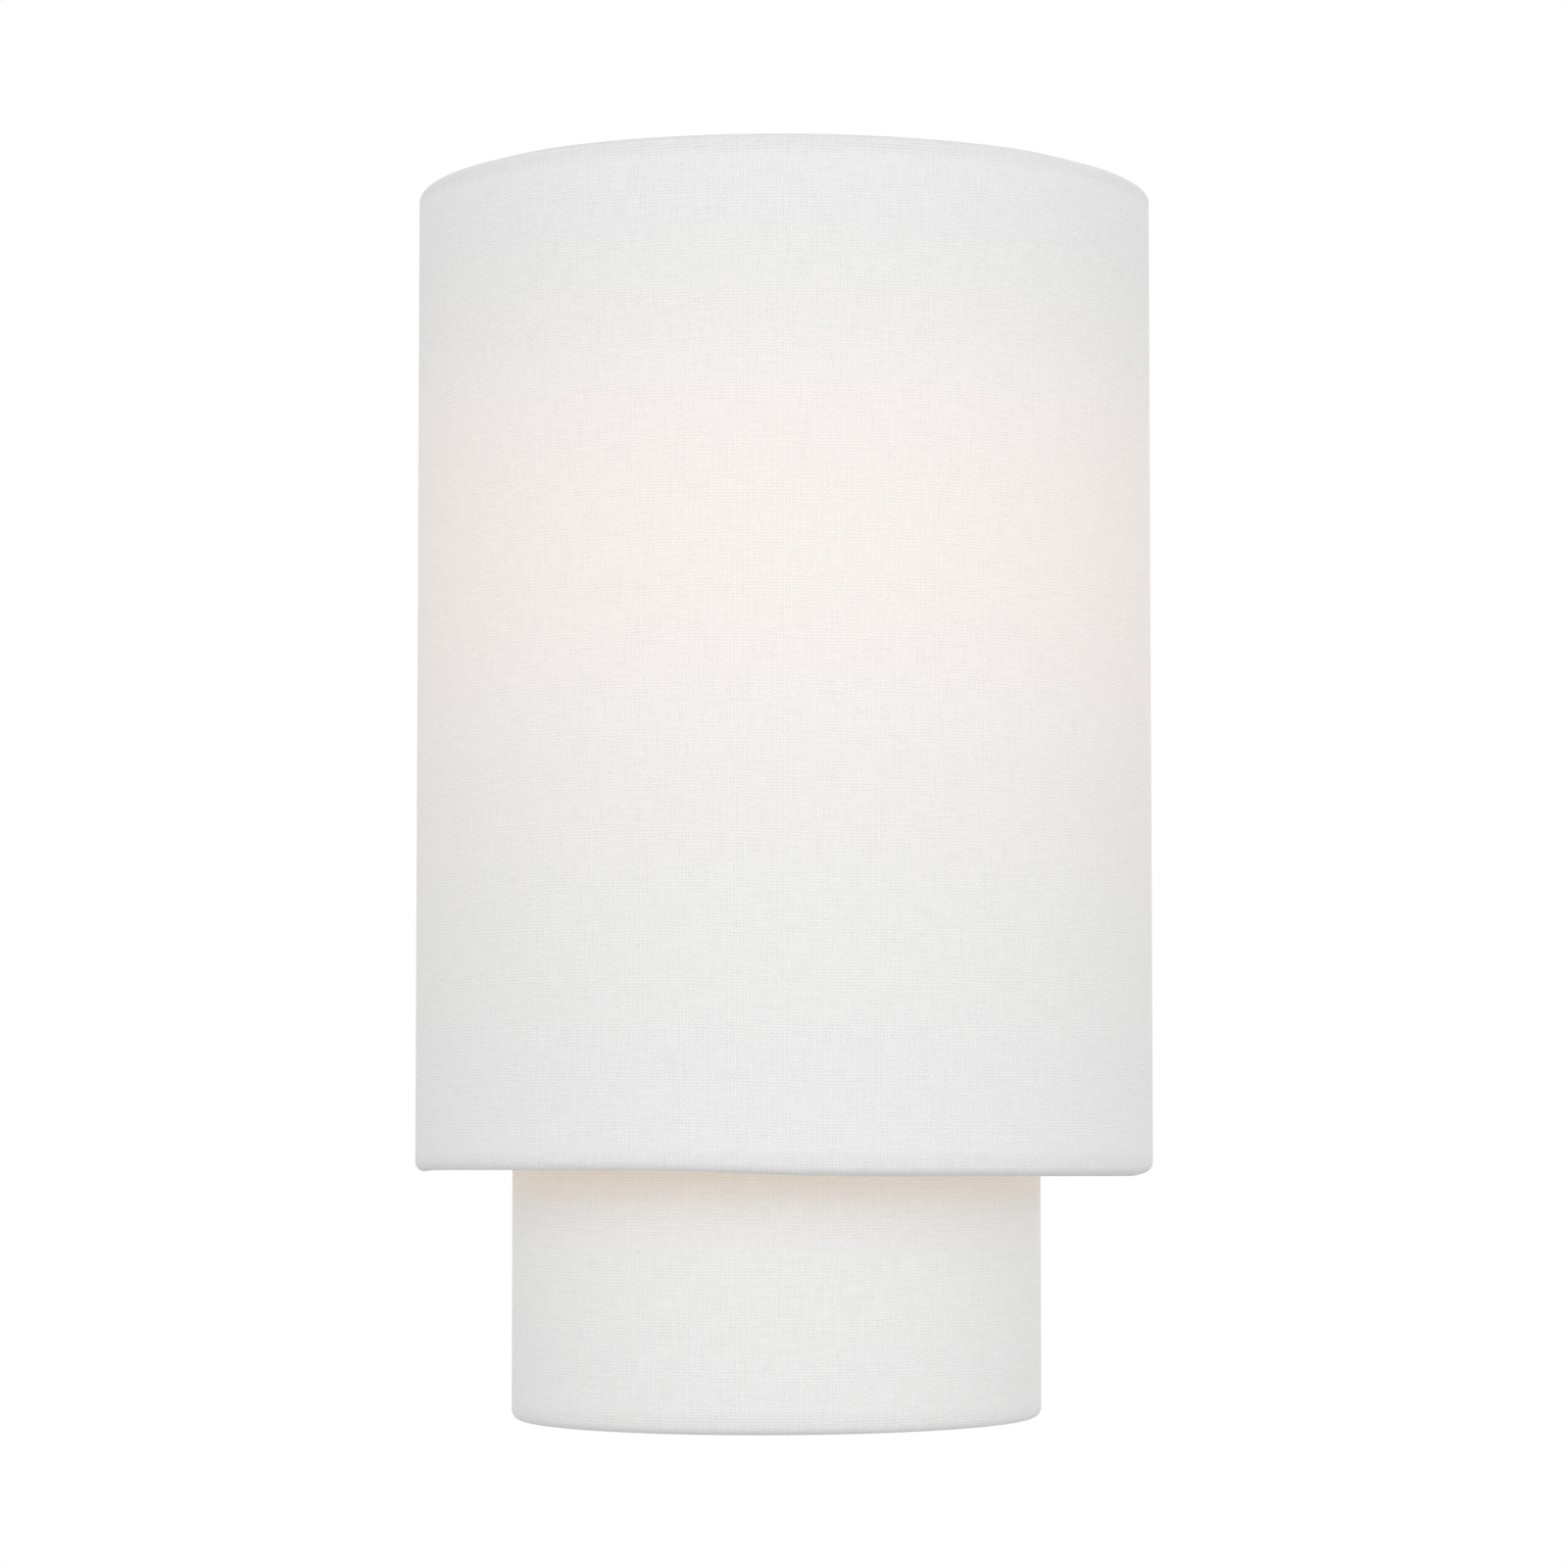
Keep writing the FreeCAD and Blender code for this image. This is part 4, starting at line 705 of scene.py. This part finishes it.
def shell(name, tier, node):
    """The stiff lining behind a tier's cloth."""
    outer, inner = tier["radius"] - CLOTH, tier["radius"] - CLOTH - LINING
    low, high = tier["low"] + HEM + WIRE, tier["high"] - HEM - WIRE
    heights = [low + (high - low) * n / LINING_ROWS for n in range(LINING_ROWS + 1)]
    ring = [(outer, z) for z in heights] + [(inner, z) for z in reversed(heights)]
    vertices, faces = wrapped(tier, ring)
    piece = show(name, vertices, faces, "shade", FINISHES["shade_lining"])
    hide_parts(node)


cloth("upper_cloth", upper, "outer_shade")
cloth("lower_cloth", lower, "inner_shade")
shell("upper_lining", upper, "outer_liner")
shell("lower_lining", lower, "inner_liner")

upper_top, upper_bottom = upper["high"] - HEM, upper["low"] + HEM
lower_top, lower_bottom = lower["high"] - HEM, lower["low"] + HEM
grow(
    "upper_frame",
    BARS,
    lines(
        [(bow(upper, upper_top), WIRE), (bow(upper, upper_bottom), WIRE)]
        + [(back_bar(upper, upper_top), WIRE), (back_bar(upper, upper_bottom), WIRE)]
        + stays(upper, [(upper_bottom + WIRE, upper_top - WIRE)])
    ),
    "shade",
    "frame_wire",
    ["outer_top_ring", "outer_bottom_ring", "outer_stays"],
)
# The lower tier's stays stop at the upper tier's bottom bar and go on above it.
grow(
    "lower_frame",
    BARS,
    lines(
        [(bow(lower, lower_top), WIRE), (bow(lower, lower_bottom), WIRE)]
        + [(back_bar(lower, lower_bottom), WIRE)]
        + stays(lower, [(lower_bottom + WIRE, upper_bottom - WIRE), (upper_bottom + WIRE, lower_top - WIRE)])
    ),
    "shade",
    "frame_wire",
    ["inner_top_ring", "inner_bottom_ring", "inner_stays"],
)


# Small hardware, in millimetres

TOWARDS_WALL, OUTWARDS = (0, 1, 0), (0, -1, 0)
# The connector block's height, its poles to either side and the two clamps of each, above and below.
BLOCK_Z, POLES, CLAMPS = -98, (-11, 0, 11), (-4, 4)
# The lamp's axis, and the wire screws on either side of its holder.
LAMP_Y = -56
HOLDER_SCREW_X, HOLDER_SCREW_Z = 18.5, -57
# The thumb screws, and the middle of the knurled band round their heads.
THUMB_SCREW_X, THUMB_SCREW_Z = 40, -104
KNURL_Y, KNURL_RADIUS, KNURL_RIBS = -26.9, 5.95, 40
# Points to each turn of a thread, and how thick the threads' ridges are.
TURN_STEPS = 32
THUMB_RIDGE, LAMP_RIDGE, NIPPLE_RIDGE = 0.16, 0.6, 0.22

# Each set of slotted screws: piece, node, slot, the heads' places and facings, and the sizes in this order.
SCREW_SIZES = ("Head_radius", "Head_height", "Shank_radius", "Shank_length", "Slot_width", "Slot_depth")
SLOTTED_SCREWS = [
    (
        "clamp_screws",
        "terminal_screws",
        "zinc_plate",
        [((x, -9.2, BLOCK_Z + z), TOWARDS_WALL) for x in POLES for z in CLAMPS],
        (1.4, 1.4, 1.3, 1.8, 0.45, 0.6),
    ),
    (
        "block_fixing",
        "block_screw",
        "zinc_plate",
        [((5.5, -7.0, BLOCK_Z), TOWARDS_WALL)],
        (2.6, 1.6, 1.5, 13.0, 0.7, 0.8),
    ),
    (
        "earth_screw",
        "ground_screw",
        "green_screw",
        [((14, -1.6, 0), OUTWARDS)],
        (4.0, 2.4, 2.0, 1.6, 0.9, 1.1),
    ),
    (
        "wire_screws",
        "holder_screws",
        "brass",
        [((hand * HOLDER_SCREW_X, LAMP_Y, HOLDER_SCREW_Z), (hand, 0, 0)) for hand in (-1, 1)],
        (3.2, 1.8, 1.5, 5.0, 0.8, 0.9),
    ),
]


def helix(x, y, low, high, radius, pitch):
    """A screw thread's line about an upright axis."""
    count = int(TURN_STEPS * (high - low) / pitch)
    turns = [(2 * math.pi * n / TURN_STEPS, low + pitch * n / TURN_STEPS) for n in range(count + 1)]
    return [(x + radius * math.cos(a), y + radius * math.sin(a), z) for a, z in turns]


def level_helix(x, z, rear, front, radius, pitch):
    """The same about an axis that runs out of the wall."""
    return [(x + px, -pz, z + py) for px, py, pz in helix(0, 0, -rear, -front, radius, pitch)]


for name, node, slot, places, sizes in SLOTTED_SCREWS:
    grow(name, SCREWS, spots(places), "root", slot, [node], **dict(zip(SCREW_SIZES, sizes)))

for side, x in (("left", -THUMB_SCREW_X), ("right", THUMB_SCREW_X)):
    ribs = []
    for n in range(KNURL_RIBS):
        across, up = math.cos(2 * math.pi * n / KNURL_RIBS), math.sin(2 * math.pi * n / KNURL_RIBS)
        place = (x + KNURL_RADIUS * across, KNURL_Y, THUMB_SCREW_Z + KNURL_RADIUS * up)
        ribs.append((place, (across, 0, up)))
    body = side + "_screw"
    grow(body + "_knurl", RIBS, spots(ribs), body, "nickel_plate", smooth=20, Rib_width=0.5, Rib_length=6.0)
    turned = level_helix(x, THUMB_SCREW_Z, rear=-15.2, front=-21.0, radius=1.85, pitch=0.7)
    grow(body + "_thread", BARS, lines([(turned, THUMB_RIDGE)]), body, "nickel_plate", Sides=8)

rolled = helix(0, LAMP_Y, low=-42.0, high=-25.5, radius=12.75, pitch=3.63)
grow("lamp_thread", BARS, lines([(rolled, LAMP_RIDGE)]), "bulb", "lamp_cap", Sides=12)
cut_thread = helix(0, LAMP_Y, low=-72.8, high=-70.7, radius=4.8, pitch=0.94)
grow("nipple_thread", BARS, lines([(cut_thread, NIPPLE_RIDGE)]), "root", "zinc_plate", Sides=8)


# Light, floor and surroundings, in metres and watts

WORLD_LIGHT = 0.835
FLOOR_LEVEL, FLOOR_RADIUS, FLOOR_SIDES = -1.7, 6.5, 96
# Each lamp faces the object: its place, width and strength.
LAMPS = {
    "key": ((-0.9, -3.0, 0.7), 2.0, 11.7),
    "fill": ((1.1, -2.9, 0.1), 2.0, 11.9),
    "rear": ((0.9, 2.4, 1.3), 1.6, 8),
}


def surroundings():
    """White to the eye, in reflections and through glass, and an even dimmer light for everything else."""
    world = bpy.data.worlds.new("surroundings")
    bpy.context.scene.world = world
    world.use_nodes = True
    tree = world.node_tree
    light = tree.nodes["Background"]
    light.inputs["Color"].default_value = srgb("FFFFFF")
    light.inputs["Strength"].default_value = WORLD_LIGHT
    white = add(tree, "ShaderNodeBackground", {"Color": srgb("FFFFFF"), "Strength": 1.0})
    ray = add(tree, "ShaderNodeLightPath")
    seen = ray.outputs["Is Camera Ray"]
    for kind in ("Is Glossy Ray", "Is Transmission Ray"):
        either = add(tree, "ShaderNodeMath", links={0: seen, 1: ray.outputs[kind]}, operation="MAXIMUM")
        seen = either.outputs[0]
    mix = add(tree, "ShaderNodeMixShader", links={0: seen, 1: light.outputs[0], 2: white.outputs[0]})
    tree.links.new(mix.outputs[0], tree.nodes["World Output"].inputs["Surface"])


surroundings()

for name, (place, width, watts) in LAMPS.items():
    lamp = bpy.data.lights.new(name, "AREA")
    lamp.size, lamp.energy = width, watts
    holder = bpy.data.objects.new(name, lamp)
    holder.location = place
    holder.rotation_euler = (-Vector(place)).to_track_quat("-Z", "Y").to_euler()
    holder.visible_camera = False
    bpy.context.scene.collection.objects.link(holder)

# Painted studio floor, rolled matt: pale and even.
floor_paint = grained("floor_paint", "D8D8D7", "D3D3D2", 30, 0.1, Roughness=0.8)
turns = [2 * math.pi * n / FLOOR_SIDES for n in range(FLOOR_SIDES)]
rim = [(FLOOR_RADIUS * math.cos(a), FLOOR_RADIUS * math.sin(a), FLOOR_LEVEL) for a in turns]
floor_mesh = bpy.data.meshes.new("floor")
floor_mesh.from_pydata(rim, [], [tuple(range(FLOOR_SIDES))])
floor_mesh.materials.append(floor_paint)
floor = place_mesh("floor", floor_mesh)
